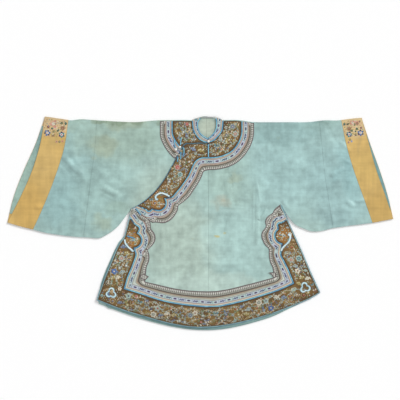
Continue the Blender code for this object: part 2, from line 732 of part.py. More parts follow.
def build_trims():
    """The borders with their pipings and ribbons."""
    half = PIPING_WIDTH / 2 + GAP
    top_edge = [p - Vector((0, FOLD_CLEAR)) for p in shoulder]
    foot = curve(COLLAR_FOOT, FINE_STEP)
    past_fold = Vector((0, FOLD_CLEAR * 10))
    collar_edge = shifted([foot[0] + past_fold, *foot, foot[-1] + past_fold], -half)

    # Left of the neck the trims stop at the overlap's free edge.
    above = [p for p in shifted(free_edge(), -OVERLAP_CLEAR) if p.x > LEFT_TRIMS_FROM]
    bare = joined_loop(part_of(top_edge, LEFT_TRIMS_FROM, FRONT_SEAM), above)
    route = smooth(plan(NECK_LEFT), NECK_STEP)
    ribbons("neck_left", route[::-1], on_left, [bare], lines=())
    middle = FRONT_SEAM - SEAM
    ring = [*shifted(route, half), Vector((middle, route[-1].y)), Vector((middle, FAR))]
    lay("neck_border_left", "embroidery", on_left, TRIM, [ring, bare], [collar_edge])

    # Right of the neck and over the overlap
    sheet = sheet_edge(top_edge)
    meeting = plan(RIBBON_MEETING)
    route = [*smooth(plan(NECK_RIGHT), NECK_STEP), *arc(OVERLAP_BIG_LOBE), *arc(OVERLAP_SMALL_LOBE)]
    route += plan(OVERLAP_LOBE_END)
    neck_edge = shifted(smooth(plan(NECK_RIGHT), NECK_STEP), PIPING_WIDTH / 2 + 2 * GAP + RIBBON_WIDTH + LACE_WIDTH)
    edge = [p for p in neck_edge if p.x > LACE_TABLE_FROM or p.y > 0.3] + stretches(FRONT_LACE_EDGE)
    ribbons("front", route, on_right, [sheet, [*meeting, *plan(FRONT_SIDE)]], edge=edge)
    border = [*shifted(route, -half), *plan(NECK_OUTSIDE)]
    for name, left, right in (("neck_border_right", FRONT_SEAM + SEAM, FAR), ("overlap_border", -FAR, middle)):
        lay(name, "embroidery", on_right, TRIM, [border, sheet, oblong(left, right)], [collar_edge], SLOPE_LINES)

    # Up both slits and along the hem
    route = [*plan(LEFT_LOBE_START), *arc(LEFT_SMALL_LOBE), *arc(LEFT_BIG_LOBE), *smooth(plan(LEFT_SLIT), EDGE_STEP)]
    route += smooth(plan(HEM_PIPING), SIDE_STEP)[1:]
    route += [*smooth(plan(RIGHT_SLIT), EDGE_STEP)[1:], *arc(RIGHT_BIG_LOBE), *arc(RIGHT_SMALL_LOBE)]
    route += plan(RIGHT_LOBE_END)
    edge = stretches(HEM_LACE_EDGE)
    ribbons("hem", route, on_right, [sheet, [*shifted(meeting, -GAP), *plan(HEM_SIDE)]], edge=edge)
    border = [*shifted(route, -half), *plan(HEM_OUTSIDE)]
    lay("hem_border", "embroidery", on_right, TRIM, [border, sheet], [], SLOPE_LINES)


def band(name, kind, low, thick, route, width, within=()):
    """A narrow strip along a route."""
    lay(name, kind, low, thick, [strip(route, -width / 2, width / 2), *within], lines=SLOPE_LINES)


def raised(low, height):
    """The same ground, higher by this much."""
    return lambda point: low(point) + height


def build_linings():
    """What shows inside: the neck, and past the left slit and the hem."""
    opening = shifted(curve(OPENING, FINE_STEP), -COLLAR_EDGE)
    lay("neck_lining", "lining", on_back, TRIM, [opening])
    near, far = curve(SIDE_LEFT_FRONT[4:]), curve(SIDE_LEFT_BACK[4:9])
    slit = spindle(shifted(near, -LINING_CLEAR), shifted(far, LINING_INSET))
    lay("slit_lining", "lining", on_back, TRIM, [slit])
    near, far = (part_of(curve(hem), HEM_FRONT[0][0] * MM, LINING_END) for hem in (HEM_FRONT, HEM_BACK))
    hem = spindle(shifted(near, -LINING_CLEAR), shifted(far, LINING_INSET))
    lay("hem_lining", "lining", on_back, TRIM, [hem])


def build_collar():
    """The low band round the neck: cut at the front, with its back standing past the shoulder fold."""
    foot = curve(COLLAR_FOOT, FINE_STEP)
    opening = curve(OPENING, FINE_STEP)
    half = PIPING_WIDTH / 2
    outer = [*shifted(foot, half + GAP), *plan(COLLAR_BACK)]
    hole = shifted([*opening, opening[0]], -half - GAP)
    slot = oblong(FRONT_SEAM - GAP, FRONT_SEAM + GAP, *COLLAR_SPLIT)
    lines = SLOPE_LINES + DROP_LINES
    lay("collar", "figured_ribbon", on_neck, COLLAR_WALL, [outer], [hole, slot], lines)
    for name, route in (("collar_piping", foot), ("collar_top_piping", opening)):
        edge = strip(route, -half, half)
        lay(f"{name}_left", "piping", on_left, PIPING, [edge, oblong(-FAR, FRONT_SEAM - GAP)], lines=lines)
        lay(f"{name}_right", "piping", on_neck, PIPING, [edge, oblong(FRONT_SEAM + GAP, FAR)], lines=lines)


def build_fastenings():
    """Pipings of the overlap's edge and of its seam, curls and trefoils, knotted strips and ball buttons."""
    edge = shifted(free_edge(), EDGE_INSET - GAP - OVERLAP_PIPING_WIDTH / 2)
    band("overlap_piping", "piping", on_right, TRIM, edge, OVERLAP_PIPING_WIDTH)
    on_border = raised(on_right, TRIM + GAP)
    on_piping = raised(on_right, PIPING + GAP)
    band("centre_piping", "piping", on_border, TRIM, plan(CENTRE_PIPING), PIPING_WIDTH)
    for name, table in (("overlap_curl", OVERLAP_CURL), ("left_curl", LEFT_CURL), ("right_curl", RIGHT_CURL)):
        band(name, "pale_ribbon", on_piping, TRIM, curve(table, FINE_STEP), CURL_WIDTH)
    for side, (across, up, turn) in TREFOILS.items():
        middle = Vector((across, up)) * MM
        outer, inner = (trefoil(middle, turn, grow * CURL_WIDTH / 2) for grow in (1, -1))
        lay(f"{side}_trefoil", "pale_ribbon", on_border, TRIM, [outer], [inner])
    grounds = {"left": raised(on_left, PIPING + GAP), "overlap": on_piping}
    for name, (ground, route) in STRIPS.items():
        band(name, "piping", grounds[ground], PIPING, plan(route), LOOP_WIDTH)
    for name, (ground, across, up) in BALLS.items():
        point = Vector((across, up)) * MM
        low = grounds[ground](point)
        mesh = bmesh.new()
        bmesh.ops.create_uvsphere(mesh, u_segments=14, v_segments=9, radius=BALL_RADIUS)
        ball = finished(name, "button", mesh, (point.x, point.y, low + BALL_RADIUS))
        ball.data.shade_smooth()


def trefoil(middle, turn, grow):
    """The outline of three lobes round a middle."""
    points = []
    for k in range(TREFOIL_POINTS):
        angle = 2 * math.pi * k / TREFOIL_POINTS
        far = TREFOIL_WAIST + TREFOIL_BULGE * abs(math.cos(1.5 * angle)) + grow
        heading = angle + math.radians(turn + 90)
        points.append(middle + Vector((math.cos(heading), math.sin(heading))) * far)
    return points


def build():
    clear_scene()
    build_sleeves()
    build_left_body()
    build_right_body()
    build_overlap()
    build_trims()
    build_linings()
    build_collar()
    build_fastenings()


build()
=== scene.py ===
"""The silk coat laid flat on its back: fine cloth, woven ribbons and embroidery in place of the plain solids.

Plan tables are in millimetres, across and up, as seen from above with the neck at the far side. Plan
points are complex numbers in metres.
"""

import math
import random

import bmesh
import bpy
import numpy as np
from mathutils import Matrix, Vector, noise
from mathutils.geometry import delaunay_2d_cdt


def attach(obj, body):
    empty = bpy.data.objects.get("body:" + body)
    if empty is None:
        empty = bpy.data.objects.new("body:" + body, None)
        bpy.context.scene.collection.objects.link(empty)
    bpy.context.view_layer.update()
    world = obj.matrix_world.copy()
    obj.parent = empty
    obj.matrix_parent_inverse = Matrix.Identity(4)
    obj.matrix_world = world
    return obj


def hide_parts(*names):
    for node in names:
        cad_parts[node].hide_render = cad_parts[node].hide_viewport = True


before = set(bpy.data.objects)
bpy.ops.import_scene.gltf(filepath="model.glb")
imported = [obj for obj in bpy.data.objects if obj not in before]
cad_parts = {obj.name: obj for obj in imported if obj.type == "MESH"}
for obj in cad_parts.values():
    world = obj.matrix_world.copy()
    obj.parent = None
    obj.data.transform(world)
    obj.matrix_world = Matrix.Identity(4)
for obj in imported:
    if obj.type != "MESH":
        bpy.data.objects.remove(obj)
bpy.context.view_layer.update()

MM = 0.001
GAP = 0.3 * MM
WALL = 2.0 * MM
CLOTH = 1.2 * MM
TRIM = 1.0 * MM
PIPING = 1.6 * MM
TINY = 1e-9
# How upright the normal of a level face is, how far a corner turns, and how far a crisp edge turns
LEVEL = 0.88
CORNER = math.radians(58)
SHARP = math.radians(50)

# Heights of the layers above the floor
FRONT_LOW = WALL + GAP
ON_FRONT = FRONT_LOW + WALL + GAP
ON_BORDER = ON_FRONT + TRIM + GAP
ON_PIPING = ON_FRONT + PIPING + GAP
# How high the right front climbs on to the under front, and where across the coat it ends and starts
CLIMB = WALL + GAP
SLOPE_TOP, SLOPE_FOOT = 51.2 * MM, 91.2 * MM
# Up the coat, where the collar's ground comes down again, and across it, where the collar's halves meet
COLLAR_DROP = (400 * MM, 408 * MM)
CENTRE = 31 * MM

# Shoulder fold from the left cuff to the right cuff
SHOULDER = [
    (-599, 409), (-548, 402), (-502, 394.5), (-467, 398), (-409, 395), (-317, 389.5), (-248, 387.5),
    (-178, 393.5), (-109, 395), (-32, 395), (80, 395), (145, 395), (199, 388), (345, 387), (422, 388),
    (468, 393.5), (538, 394.5), (584, 401), (622, 404),
]

# Routes of the blue pipings
COLLAR_FOOT = [
    (-30, 394), (-26.6, 363), (-15.4, 340), (-1, 323), (18, 313.5), (30, 312), (52, 320.5), (71, 340),
    (83, 359), (87, 394),
]
OPENING = [
    (0, 404), (-9, 392), (-11, 377), (-9, 362), (-1.5, 347), (12.5, 334), (28, 325), (47, 339.5),
    (55.5, 350), (61.5, 366), (63, 390), (61, 404),
]
OVERLAP_EDGE = [
    (31.2, 309.3), (-1, 309.6), (-32, 307.4), (-61, 304.3), (-74, 284), (-97, 245.5), (-131, 184),
    (-154, 150), (-182, 117), (-217, 86), (-253, 63), (-264, 58),
]
NECK_LEFT = [
    (-109, 404), (-108, 344), (-100.5, 324.4), (-89.3, 306.3), (-76, 291), (-45, 268), (-10, 254),
]
NECK_RIGHT = [
    (160, 404), (160, 348.6), (153, 321), (134, 290), (113, 271), (87, 259), (57, 252.5), (29.6, 251.2),
    (3, 250), (-14, 241), (-28, 220.4), (-44, 184), (-76, 136.5), (-107, 101),
]
LEFT_SLIT = [
    (-252, -104), (-247, -120), (-252.5, -140), (-265.7, -175.4), (-278, -204), (-292, -251.5),
]
HEM_PIPING = [
    (-292, -251.5), (-228, -271), (-155, -295), (-78, -310.5), (22, -320.5), (76, -318.5), (176, -296),
    (249, -274), (303, -256), (358, -231),
]
RIGHT_SLIT = [(358, -231), (348, -205), (336, -176), (321, -146), (309, -119), (311, -104.5)]
OVERLAP_END = [(-222, 58), (-258, 72)]
LEFT_START = [(-273, 26), (-268, 19), (-252, -3)]
RIGHT_END = [(321, 7), (340, 18)]
SEAM = [(31.2, 254.5), (31.2, 280), (31.2, 305)]
# Outer edge of the front, from the left slit round the hem to the right armpit
SIDE_LEFT = [
    (-264, 58), (-275, 12), (-285, -29), (-293, -54), (-310, -78), (-324, -105), (-346, -159), (-370, -218),
    (-397, -295),
]
HEM_FRONT = [
    (-397, -295), (-302, -332), (-204, -362), (-105, -388), (-9, -400), (106, -391), (253, -355),
    (401, -299), (460, -267),
]
SIDE_RIGHT = [(460, -267), (426, -193), (391, -111), (355, -32), (311, 69)]

# Cloud lobes of the borders: middle across, middle up, radius, first angle, last angle
LOBES = {
    "overlap_big": (-161, 78, 30, 33, -108),
    "overlap_small": (-197.5, 56.5, 11.5, -14, -158),
    "left_small": (-246, -21, 12.5, 88, -42),
    "left_big": (-256, -65, 31, 62, -86),
    "right_big": (318, -48, 32, 262, 127),
    "right_small": (307, -8.5, 11, 222, 68),
}

# Large creases, the same as in the solids: across and up of both ends, half width, height
CREASES = [
    (-529, 259, -456, 184, 17, 5.0), (-390, 148, -298, 96, 19, 6.0), (499, 180, 553, 217, 16, 4.5),
    (556, 92, 600, 58, 14, 4.0), (-640, 60, -580, 66, 12, 3.0), (595, 82, 640, 92, 11, 3.0),
    (230, 10, 256, 56, 10, 4.0), (219, 150, 219, -120, 13, 4.0), (-147, -18, -147, -105, 12, 3.5),
    (-40, 39, 190, 42, 15, 2.5), (-120, -157, 200, -155, 16, 2.2), (95, 190, 118, 60, 18, 3.0),
]
# Smaller ones that only the fine cloth has; a trough has a height below nothing
FINE_CREASES = [
    (-500, 300, -440, 150, 16, 2.6), (-548, 240, -500, 190, 10, -1.2), (-420, 230, -300, 120, 22, 2.6),
    (-380, 110, -290, 78, 12, 2.2), (-468, 398, -505, 320, 13, -1.8), (-445, 398, -480, 330, 12, 1.4),
    (-600, 120, -470, 20, 30, 1.8), (-460, 60, -420, -30, 16, 1.6), (440, 250, 560, 120, 26, 2.0),
    (560, 130, 600, 190, 10, 1.8), (520, 60, 640, 40, 14, 1.6), (330, 250, 450, 190, 24, 1.8),
    (470, 396, 520, 320, 14, -1.4), (520, 330, 585, 270, 12, 1.8), (545, 250, 600, 215, 9, 1.4),
    (490, 100, 520, -20, 12, 1.6), (300, 110, 350, 40, 12, 2.0), (-350, 330, -260, 250, 20, 1.2),
    (244, 36, 258, 64, 7, 1.6), (258, 62, 292, 86, 7, 1.4), (205, 150, 204, -40, 7, 2.0),
    (236, 60, 214, 170, 8, 1.8), (228, 130, 224, -60, 6, 1.4), (30, 180, 30, -240, 5, -0.6),
    (-120, 20, -60, -60, 18, 1.2), (60, -40, 150, -120, 22, 1.2), (-60, 120, 20, 60, 20, 1.0),
    (-110, -90, 60, -95, 9, 0.8), (60, 60, 180, 58, 7, 0.9), (-90, 58, 40, 60, 7, -0.8),
]
# Soft swells of the sleeves: middle across, middle up, reach across, reach up, height
SWELLS = [
    (-560, 215, 150, 170, 5.0), (-345, 200, 110, 140, 4.5), (545, 215, 150, 170, 5.0),
    (350, 200, 120, 140, 4.0),
]
RIPPLE = 0.45 * MM


def plan(table):
    return np.array([complex(row[0], row[1]) for row in table]) * MM


def smooth(table, step):
    """A smooth curve through the points of a table, with points about a step apart."""
    points = plan(table)
    ends = np.concatenate([[2 * points[0] - points[1]], points, [2 * points[-1] - points[-2]]])
    curve = []
    for before, start, end, after in zip(ends, ends[1:], ends[2:], ends[3:]):
        t = np.linspace(0, 1, max(2, round(abs(end - start) / step) + 1))[:-1]
        bend = (2 * before - 5 * start + 4 * end - after) * t ** 2
        twist = (3 * start - 3 * end + after - before) * t ** 3
        curve.append((2 * start + (end - before) * t + bend + twist) / 2)
    return np.concatenate([*curve, points[-1:]])


def lobe(name, step):
    across, up, radius, first, last = LOBES[name]
    count = round(math.radians(abs(last - first)) * radius * MM / step)
    angles = np.radians(np.linspace(first, last, count + 1))
    return (complex(across, up) + radius * np.exp(1j * angles)) * MM


STEP = 3 * MM
ROUTES = {
    "neck_left": smooth(NECK_LEFT, STEP)[::-1],
    "front": np.concatenate([smooth(NECK_RIGHT, STEP), lobe("overlap_big", STEP), lobe("overlap_small", STEP),
                             plan(OVERLAP_END)]),
    "hem": np.concatenate([plan(LEFT_START), lobe("left_small", STEP), lobe("left_big", STEP),
                           smooth(LEFT_SLIT, STEP), smooth(HEM_PIPING, STEP)[1:],
                           smooth(RIGHT_SLIT, STEP)[1:], lobe("right_big", STEP),
                           lobe("right_small", STEP), plan(RIGHT_END)]),
    "collar": smooth(COLLAR_FOOT, STEP),
    "opening": smooth(OPENING, STEP),
    "edge": smooth(OVERLAP_EDGE, STEP),
    "seam": smooth(SEAM, STEP),
}


def nearest(points, line):
    """How far each point is from an open line, how far along it, and how far to its left."""
    best = np.full(len(points), np.inf)
    along, across = np.zeros(len(points)), np.zeros(len(points))
    run = 0.0
    for start, end in zip(line, line[1:]):
        way = end - start
        length = abs(way)
        if length < TINY:
            continue
        local = (points - start) * np.conj(way) / length
        t = np.clip(local.real, 0, length)
        away = abs(local - t)
        near = away < best
        best[near] = away[near]
        along[near] = (run + t)[near]
        across[near] = (np.sign(local.imag) * away)[near]
        run += length
    return best, along, across


def left_of(line):
    """Steps one metre long to the left of a line, one from each of its points."""
    way = np.gradient(line)
    return 1j * way / np.maximum(abs(way), TINY)


def passed(line):
    """How far along a line each of its points is."""
    return np.concatenate([[0], np.cumsum(abs(np.diff(line)))])


def closed(loop):
    return np.append(loop, loop[:1])


def inside(points, loops):
    """Which points lie in the outline that the loops make, holes left out."""
    found = np.zeros(len(points), bool)
    for loop in loops:
        for a, b in zip(loop, np.roll(loop, -1)):
            if a.imag == b.imag:
                continue
            crosses = (a.imag > points.imag) != (b.imag > points.imag)
            side = a.real + (points.imag - a.imag) * (b.real - a.real) / (b.imag - a.imag)
            found ^= crosses & (points.real < side)
    return found


def rim_distance(points, loops):
    """How far each point is from the nearest rim."""
    return np.min([nearest(points, closed(loop))[0] for loop in loops], axis=0)


def step_up(value, low, high):
    """Rises smoothly from 0 at low to 1 at high."""
    t = np.clip((value - low) / (high - low), 0, 1)
    return t * t * (3 - 2 * t)


def bends(points, creases):
    """The height that creases give the cloth."""
    total = np.zeros(len(points))
    for x0, y0, x1, y1, half_width, height in creases:
        start, end = complex(x0, y0) * MM, complex(x1, y1) * MM
        length = abs(end - start)
        local = (points - start) * np.conj(end - start) / length
        t = np.clip(local.real, 0, length) / length
        away = np.minimum(1, abs(local - t * length) / (half_width * MM))
        total += height * MM * np.maximum(0, 1 - abs(2 * t - 1) ** 3) * (1 - away ** 2) ** 2
    return total


def swells(points):
    """The height that the sleeves' soft swells give the cloth."""
    total = np.zeros(len(points))
    for across, up, reach_across, reach_up, height in SWELLS:
        far = ((points.real / MM - across) / reach_across) ** 2 + ((points.imag / MM - up) / reach_up) ** 2
        total += height * MM * (1 - np.minimum(1, far)) ** 2
    return total


def ripple(points):
    """Slight unevenness of cloth that lies on itself."""
    broad = [noise.noise((p.real * 14, p.imag * 9, 0.3)) for p in points]
    fine = [noise.noise((p.real * 31, p.imag * 24, 4.1)) for p in points]
    return RIPPLE * (np.array(broad) + 0.5 * np.array(fine))


def lie(points):
    """How the upper cloth lies on what is under it."""
    return bends(points, CREASES + FINE_CREASES) + swells(points) + ripple(points)


def climb(points):
    """How far the right front stands up where it lies on the under front."""
    return CLIMB * step_up(-points.real, -SLOPE_FOOT, -SLOPE_TOP)


def drop(points):
    """1 up to where the collar's ground comes down, and 0 past it."""
    return step_up(-points.imag, -COLLAR_DROP[1], -COLLAR_DROP[0])


# The ground that a layer lies on: whether it climbs on to the under front
GROUNDS = {
    "left": lie,
    "right": lambda p: lie(p) + climb(p),
    "neck": lambda p: lie(p) + climb(p) * drop(p) * (p.real > CENTRE),
    "back": lambda p: 0 * p.real,
}


def outlines(node, looks_up=True):
    """The plan loops of a solid's uppermost faces, or of the faces that it rests on."""
    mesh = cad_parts[node].data
    edges, spots = {}, {}
    for face in mesh.polygons:
        if looks_up and (face.normal.z < LEVEL or face.center.z < FRONT_LOW):
            continue
        if not looks_up and (face.normal.z > -LEVEL or face.center.z > GAP):
            continue
        corners = []
        for k in face.vertices:
            point = mesh.vertices[k].co
            key = (round(point.x * 1e6), round(point.y * 1e6))
            spots[key] = complex(point.x, point.y)
            corners.append(key)
        for a, b in zip(corners, corners[1:] + corners[:1]):
            if not edges.pop((b, a), False):
                edges[(a, b)] = True
    after = dict(edges.keys())
    loops = []
    while after:
        loop, at = [], next(iter(after))
        while at in after:
            loop.append(spots[at])
            at = after.pop(at)
        if len(loop) > 2:
            loops.append(np.array(loop))
    return loops


def rounded(loop, step, corner=CORNER):
    """The loop with its gentle bends made smooth and its corners kept."""
    way = np.roll(loop, -1) - loop
    length = abs(way)
    unit = way / length
    turn = abs(np.angle(unit / np.roll(unit, 1)))
    tangent = unit * np.roll(length, 1) + np.roll(unit, 1) * length
    tangent = tangent / abs(tangent)
    points = []
    for k in range(len(loop)):
        after = (k + 1) % len(loop)
        t = np.linspace(0, 1, max(2, round(length[k] / step) + 1))[:-1]
        leave = (tangent[k] if turn[k] < corner else unit[k]) * length[k]
        arrive = (tangent[after] if turn[after] < corner else unit[k]) * length[k]
        points.append((2 * t ** 3 - 3 * t ** 2 + 1) * loop[k] + (t ** 3 - 2 * t ** 2 + t) * leave
                      + (3 * t ** 2 - 2 * t ** 3) * loop[after] + (t ** 3 - t ** 2) * arrive)
    return np.concatenate(points)


# Rows of a lattice stand this share of its spacing apart, and its points keep this share of it off the rim
ROW_SHARE, RIM_SHARE = 0.87, 0.35
# Points nearer than this become one, and triangles of less than half this area are left out
WELD, LEAST_AREA = 1e-7, 1e-11


def lattice(loops, spacing):
    """Evenly spread points over the box round an outline."""
    every = np.concatenate(loops)
    across = np.arange(every.real.min(), every.real.max(), spacing)
    up = np.arange(every.imag.min(), every.imag.max(), spacing * ROW_SHARE)
    grid = across[None, :] + 0.5 * spacing * (np.arange(len(up)) % 2)[:, None] + 1j * up[:, None]
    return grid.ravel()


def crease_lines(spacing):
    """Points along the crests and flanks of the creases, so that the cloth bends there."""
    dots = []
    for x0, y0, x1, y1, half_width, _ in CREASES + FINE_CREASES:
        start, end = complex(x0, y0) * MM, complex(x1, y1) * MM
        side = 1j * (end - start) / abs(end - start) * half_width * MM
        run = np.linspace(0, 1, round(abs(end - start) / spacing) + 1)
        dots += [start + (end - start) * run + side * k for k in (-0.66, -0.33, 0, 0.33, 0.66)]
    return np.concatenate(dots)


def turning(spots, triangles):
    """Twice the area of each triangle, below nothing where it runs clockwise."""
    corners = spots[triangles]
    return ((corners[:, 1] - corners[:, 0]).conj() * (corners[:, 2] - corners[:, 0])).imag


def filled(loops, spacing, dots=None):
    """Plan triangles in an outline, with points spread inside it."""
    if dots is None:
        dots = lattice(loops, spacing)
    dots = dots[inside(dots, loops)]
    dots = dots[rim_distance(dots, loops) > RIM_SHARE * spacing]
    points, edges = [], []
    for loop in loops:
        first = len(points)
        points += [Vector((p.real, p.imag)) for p in loop]
        edges += [(first + k, first + (k + 1) % len(loop)) for k in range(len(loop))]
    points += [Vector((p.real, p.imag)) for p in dots]
    spots, _, faces, _, _, _ = delaunay_2d_cdt(points, edges, [], 0, WELD)
    spots = np.array([complex(p.x, p.y) for p in spots])
    faces = np.array(faces)
    wide = abs(turning(spots, faces)) > LEAST_AREA
    faces = faces[wide & inside(spots[faces].mean(axis=1), loops)]
    used, faces = np.unique(faces, return_inverse=True)
    spots, faces = spots[used], faces.reshape(-1, 3)
    turned = turning(spots, faces) < 0
    faces[turned] = faces[turned][:, ::-1]
    return spots, faces


def rim_edges(faces):
    """The edges that only one triangle has, in its direction."""
    every = np.concatenate([faces[:, [0, 1]], faces[:, [1, 2]], faces[:, [2, 0]]])
    there = {(a, b) for a, b in every.tolist()}
    return np.array([(a, b) for a, b in every.tolist() if (b, a) not in there])


class Walls:
    """The mesh of one piece: walls of cloth and the bends that join them. Each point carries its facts."""

    def __init__(self):
        self.points, self.faces, self.facts = [], [], {}
        self.count = 0

    def layer(self, spots, heights, facts):
        """Adds points, and returns the number of the first."""
        self.points.append(np.stack([spots.real, spots.imag, heights], axis=1))
        for key, values in facts.items():
            self.facts.setdefault(key, []).append(values)
        self.count += len(spots)
        return self.count - len(spots)

    def wall(self, spots, triangles, top, bottom, facts, fold=()):
        """A wall between two heights, whose rim stays open along the fold."""
        above = self.layer(spots, top, facts)
        below = self.layer(spots, bottom, facts)
        left_open = set(fold)
        self.faces += (triangles + above).tolist()
        self.faces += (triangles[:, ::-1] + below).tolist()
        for a, b in rim_edges(triangles).tolist():
            if a not in left_open or b not in left_open:
                self.faces.append((b + above, a + above, a + below, b + below))
        return above, below

    def piece(self, name, finish):
        mesh = bpy.data.meshes.new(name)
        mesh.from_pydata(np.concatenate(self.points).tolist(), [], self.faces)
        for key, values in self.facts.items():
            values = np.concatenate(values)
            colour = values.ndim == 2
            attribute = mesh.attributes.new(key, "FLOAT_COLOR" if colour else "FLOAT", "POINT")
            attribute.data.foreach_set("color" if colour else "value", values.ravel().astype(np.float32))
        mesh.update()
        mesh.shade_smooth()
        mesh.set_sharp_from_angle(angle=SHARP)
        return placed(name, mesh, finish)


def shown(name, data):
    """A new object in the scene."""
    thing = bpy.data.objects.new(name, data)
    bpy.context.scene.collection.objects.link(thing)
    return thing


def placed(name, mesh, finish):
    """A piece of the coat, in its finish."""
    piece = shown(name, mesh)
    piece.data.materials.append(FINISHES[finish])
    finish not in NOT_SLOTS
    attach(piece, "root")
    return piece


def tone(red, green, blue):
    """A colour as a screen shows it, 0 to 255, as the share of light that the cloth returns."""
    light = [(c / 255 + 0.055) / 1.055 for c in (red, green, blue)]
    return (*[c ** 2.4 for c in light], 1.0)


class Socket:
    """A value in a finish. Arithmetic on it adds Math nodes."""

    def __init__(self, finish, end):
        self.finish = finish
        self.end = end

    def math(self, operation, *others):
        return self.finish.node("ShaderNodeMath", {"operation": operation}, (self, *others))

    def __add__(self, other):
        return self.math("ADD", other)

    def __mul__(self, other):
        return self.math("MULTIPLY", other)

    def __sub__(self, other):
        return self.math("SUBTRACT", other)

    def __rsub__(self, other):
        return self.finish.node("ShaderNodeMath", {"operation": "SUBTRACT"}, (other, self))

    def __truediv__(self, other):
        return self.math("DIVIDE", other)

    def __mod__(self, other):
        return self.math("FLOORED_MODULO", other)

    def __abs__(self):
        return self.math("ABSOLUTE")

    __radd__ = __add__
    __rmul__ = __mul__

    def sine(self):
        return self.math("SINE")

    def waves(self, length):
        """Swings between -1 and 1, once in each length."""
        return (self * (2 * math.pi / length)).sine()

    def between(self, low, high):
        """Rises smoothly from 0 at low to 1 at high."""
        settings = {"interpolation_type": "SMOOTHSTEP"}
        return self.finish.node("ShaderNodeMapRange", settings, (self, low, high, 0.0, 1.0))

    def near(self, middle, half, soft):
        """1 within half of the middle, and nothing a soft edge further out."""
        return abs(self - middle).between(half + soft, half)


class Finish:
    """A material and its nodes. Lengths in it are in metres, at the coat's own size."""

    def __init__(self, name, **constant):
        self.material = bpy.data.materials.new(name)
        self.material.use_nodes = True
        self.tree = self.material.node_tree
        self.shader = self.tree.nodes["Principled BSDF"]
        for key, value in constant.items():
            self.shader.inputs[key.replace("_", " ")].default_value = value
        self.place = self.node("ShaderNodeTexCoord", output=3)
        self.x = self.node("ShaderNodeSeparateXYZ", inputs=(self.place,))
        self.y = Socket(self, self.x.end.node.outputs[1])

    def node(self, kind, settings=None, inputs=(), output=0):
        made = self.tree.nodes.new(kind)
        for key, value in (settings or {}).items():
            setattr(made, key, value)
        for key, value in inputs.items() if isinstance(inputs, dict) else enumerate(inputs):
            self.join(value, made.inputs[key])
        return Socket(self, made.outputs[output])

    def join(self, value, end):
        if isinstance(value, Socket):
            self.tree.links.new(value.end, end)
        else:
            end.default_value = value

    def mix(self, share, one, other, blend="MIX"):
        """A mix of two colours. A colour that isn't a socket is given as a screen shows it."""
        settings = {"data_type": "RGBA", "blend_type": blend}
        one, other = (c if isinstance(c, Socket) else tone(*c) for c in (one, other))
        return self.node("ShaderNodeMix", settings, {0: share, 6: one, 7: other}, 2)

    def over(self, colour, rows):
        """Lays other colours over a colour, each by its share."""
        for share, other in rows:
            colour = self.mix(share, colour, other)
        return colour

    def noise(self, scale, detail=3.0, stretch=(1, 1, 1)):
        place = self.node("ShaderNodeVectorMath", {"operation": "MULTIPLY"}, (self.place, stretch))
        return self.node("ShaderNodeTexNoise", None, {"Vector": place, "Scale": scale, "Detail": detail})

    def uneven(self, amount, scale, detail=3.0, stretch=(1, 1, 1)):
        """Noise that swings to both sides of nothing."""
        return (self.noise(scale, detail, stretch) - 0.5) * amount

    def fact(self, name):
        """A number that the cloth's points carry."""
        return self.node("ShaderNodeAttribute", {"attribute_name": name}, output=2)

    def shaded(self, colour, amount):
        """The colour made lighter or darker by an amount about nothing."""
        grey = self.node("ShaderNodeCombineColor", None, (amount + 1, amount + 1, amount + 1))
        return self.mix(1.0, colour, grey, "MULTIPLY")

    def patches(self, colour, rows, wander):
        """Lays soft patches of other colours over a colour."""
        x = self.x + self.uneven(2 * wander, 14.0)
        y = self.y + self.uneven(2 * wander, 17.0)
        for across, up, reach_across, reach_up, other, share in rows:
            right = (x - across * MM) / (reach_across * MM)
            far = (y - up * MM) / (reach_up * MM)
            colour = self.mix((right * right + far * far).between(1.0, 0.0) * share, colour, other)
        return colour

    def weave(self, across=0.9 * MM, along=0.7 * MM):
        """The rise and fall of warp and weft."""
        return self.x.waves(across) * self.y.waves(along)

    def done(self, colour, height=None, distance=0.3 * MM, roughness=None):
        self.join(colour, self.shader.inputs["Base Color"])
        if height is not None:
            inputs = {"Height": height, "Distance": distance, "Strength": 1.0}
            self.join(self.node("ShaderNodeBump", None, inputs), self.shader.inputs["Normal"])
        if roughness is not None:
            self.join(roughness, self.shader.inputs["Roughness"])
        return self.material


# Patches of the silk: across, up, reach across, reach up, colour, share
SILK_PATCHES = [
    (-540, 180, 210, 330, (149, 183, 181), 0.9), (-300, 330, 260, 130, (156, 181, 168), 0.85),
    (-360, 120, 170, 170, (158, 190, 184), 0.7), (-150, 60, 170, 230, (170, 191, 179), 0.8),
    (-60, -110, 220, 240, (175, 196, 184), 0.9), (150, -60, 170, 260, (167, 199, 194), 0.8),
    (120, 160, 160, 130, (165, 194, 184), 0.8), (330, 220, 220, 260, (162, 197, 195), 0.9),
    (560, 150, 190, 280, (156, 191, 191), 0.8), (20, -235, 340, 60, (184, 207, 197), 0.8),
    (-367, 297, 70, 42, (163, 174, 148), 0.55), (-290, 385, 110, 28, (160, 172, 146), 0.5),
    (-375, 1, 60, 42, (158, 174, 152), 0.6), (83, 82, 42, 34, (176, 182, 166), 0.6),
    (-320, 60, 60, 30, (150, 176, 160), 0.4), (130, 168, 26, 22, (172, 184, 156), 0.4),
    (470, 380, 90, 26, (143, 175, 165), 0.5), (-520, 380, 90, 24, (150, 172, 158), 0.5),
    # Darker along the shoulder fold: stains mixed with painted shade where the cloth turns over
    (-300, 402, 260, 18, (134, 152, 128), 0.8), (300, 398, 240, 16, (122, 156, 152), 0.7),
    (330, 355, 200, 70, (146, 180, 178), 0.85), (-560, 90, 130, 110, (145, 180, 179), 0.7),
    (590, 210, 90, 130, (149, 189, 190), 0.8), (-470, -20, 90, 40, (140, 172, 168), 0.5),
    (520, 20, 120, 40, (148, 181, 181), 0.5),
]
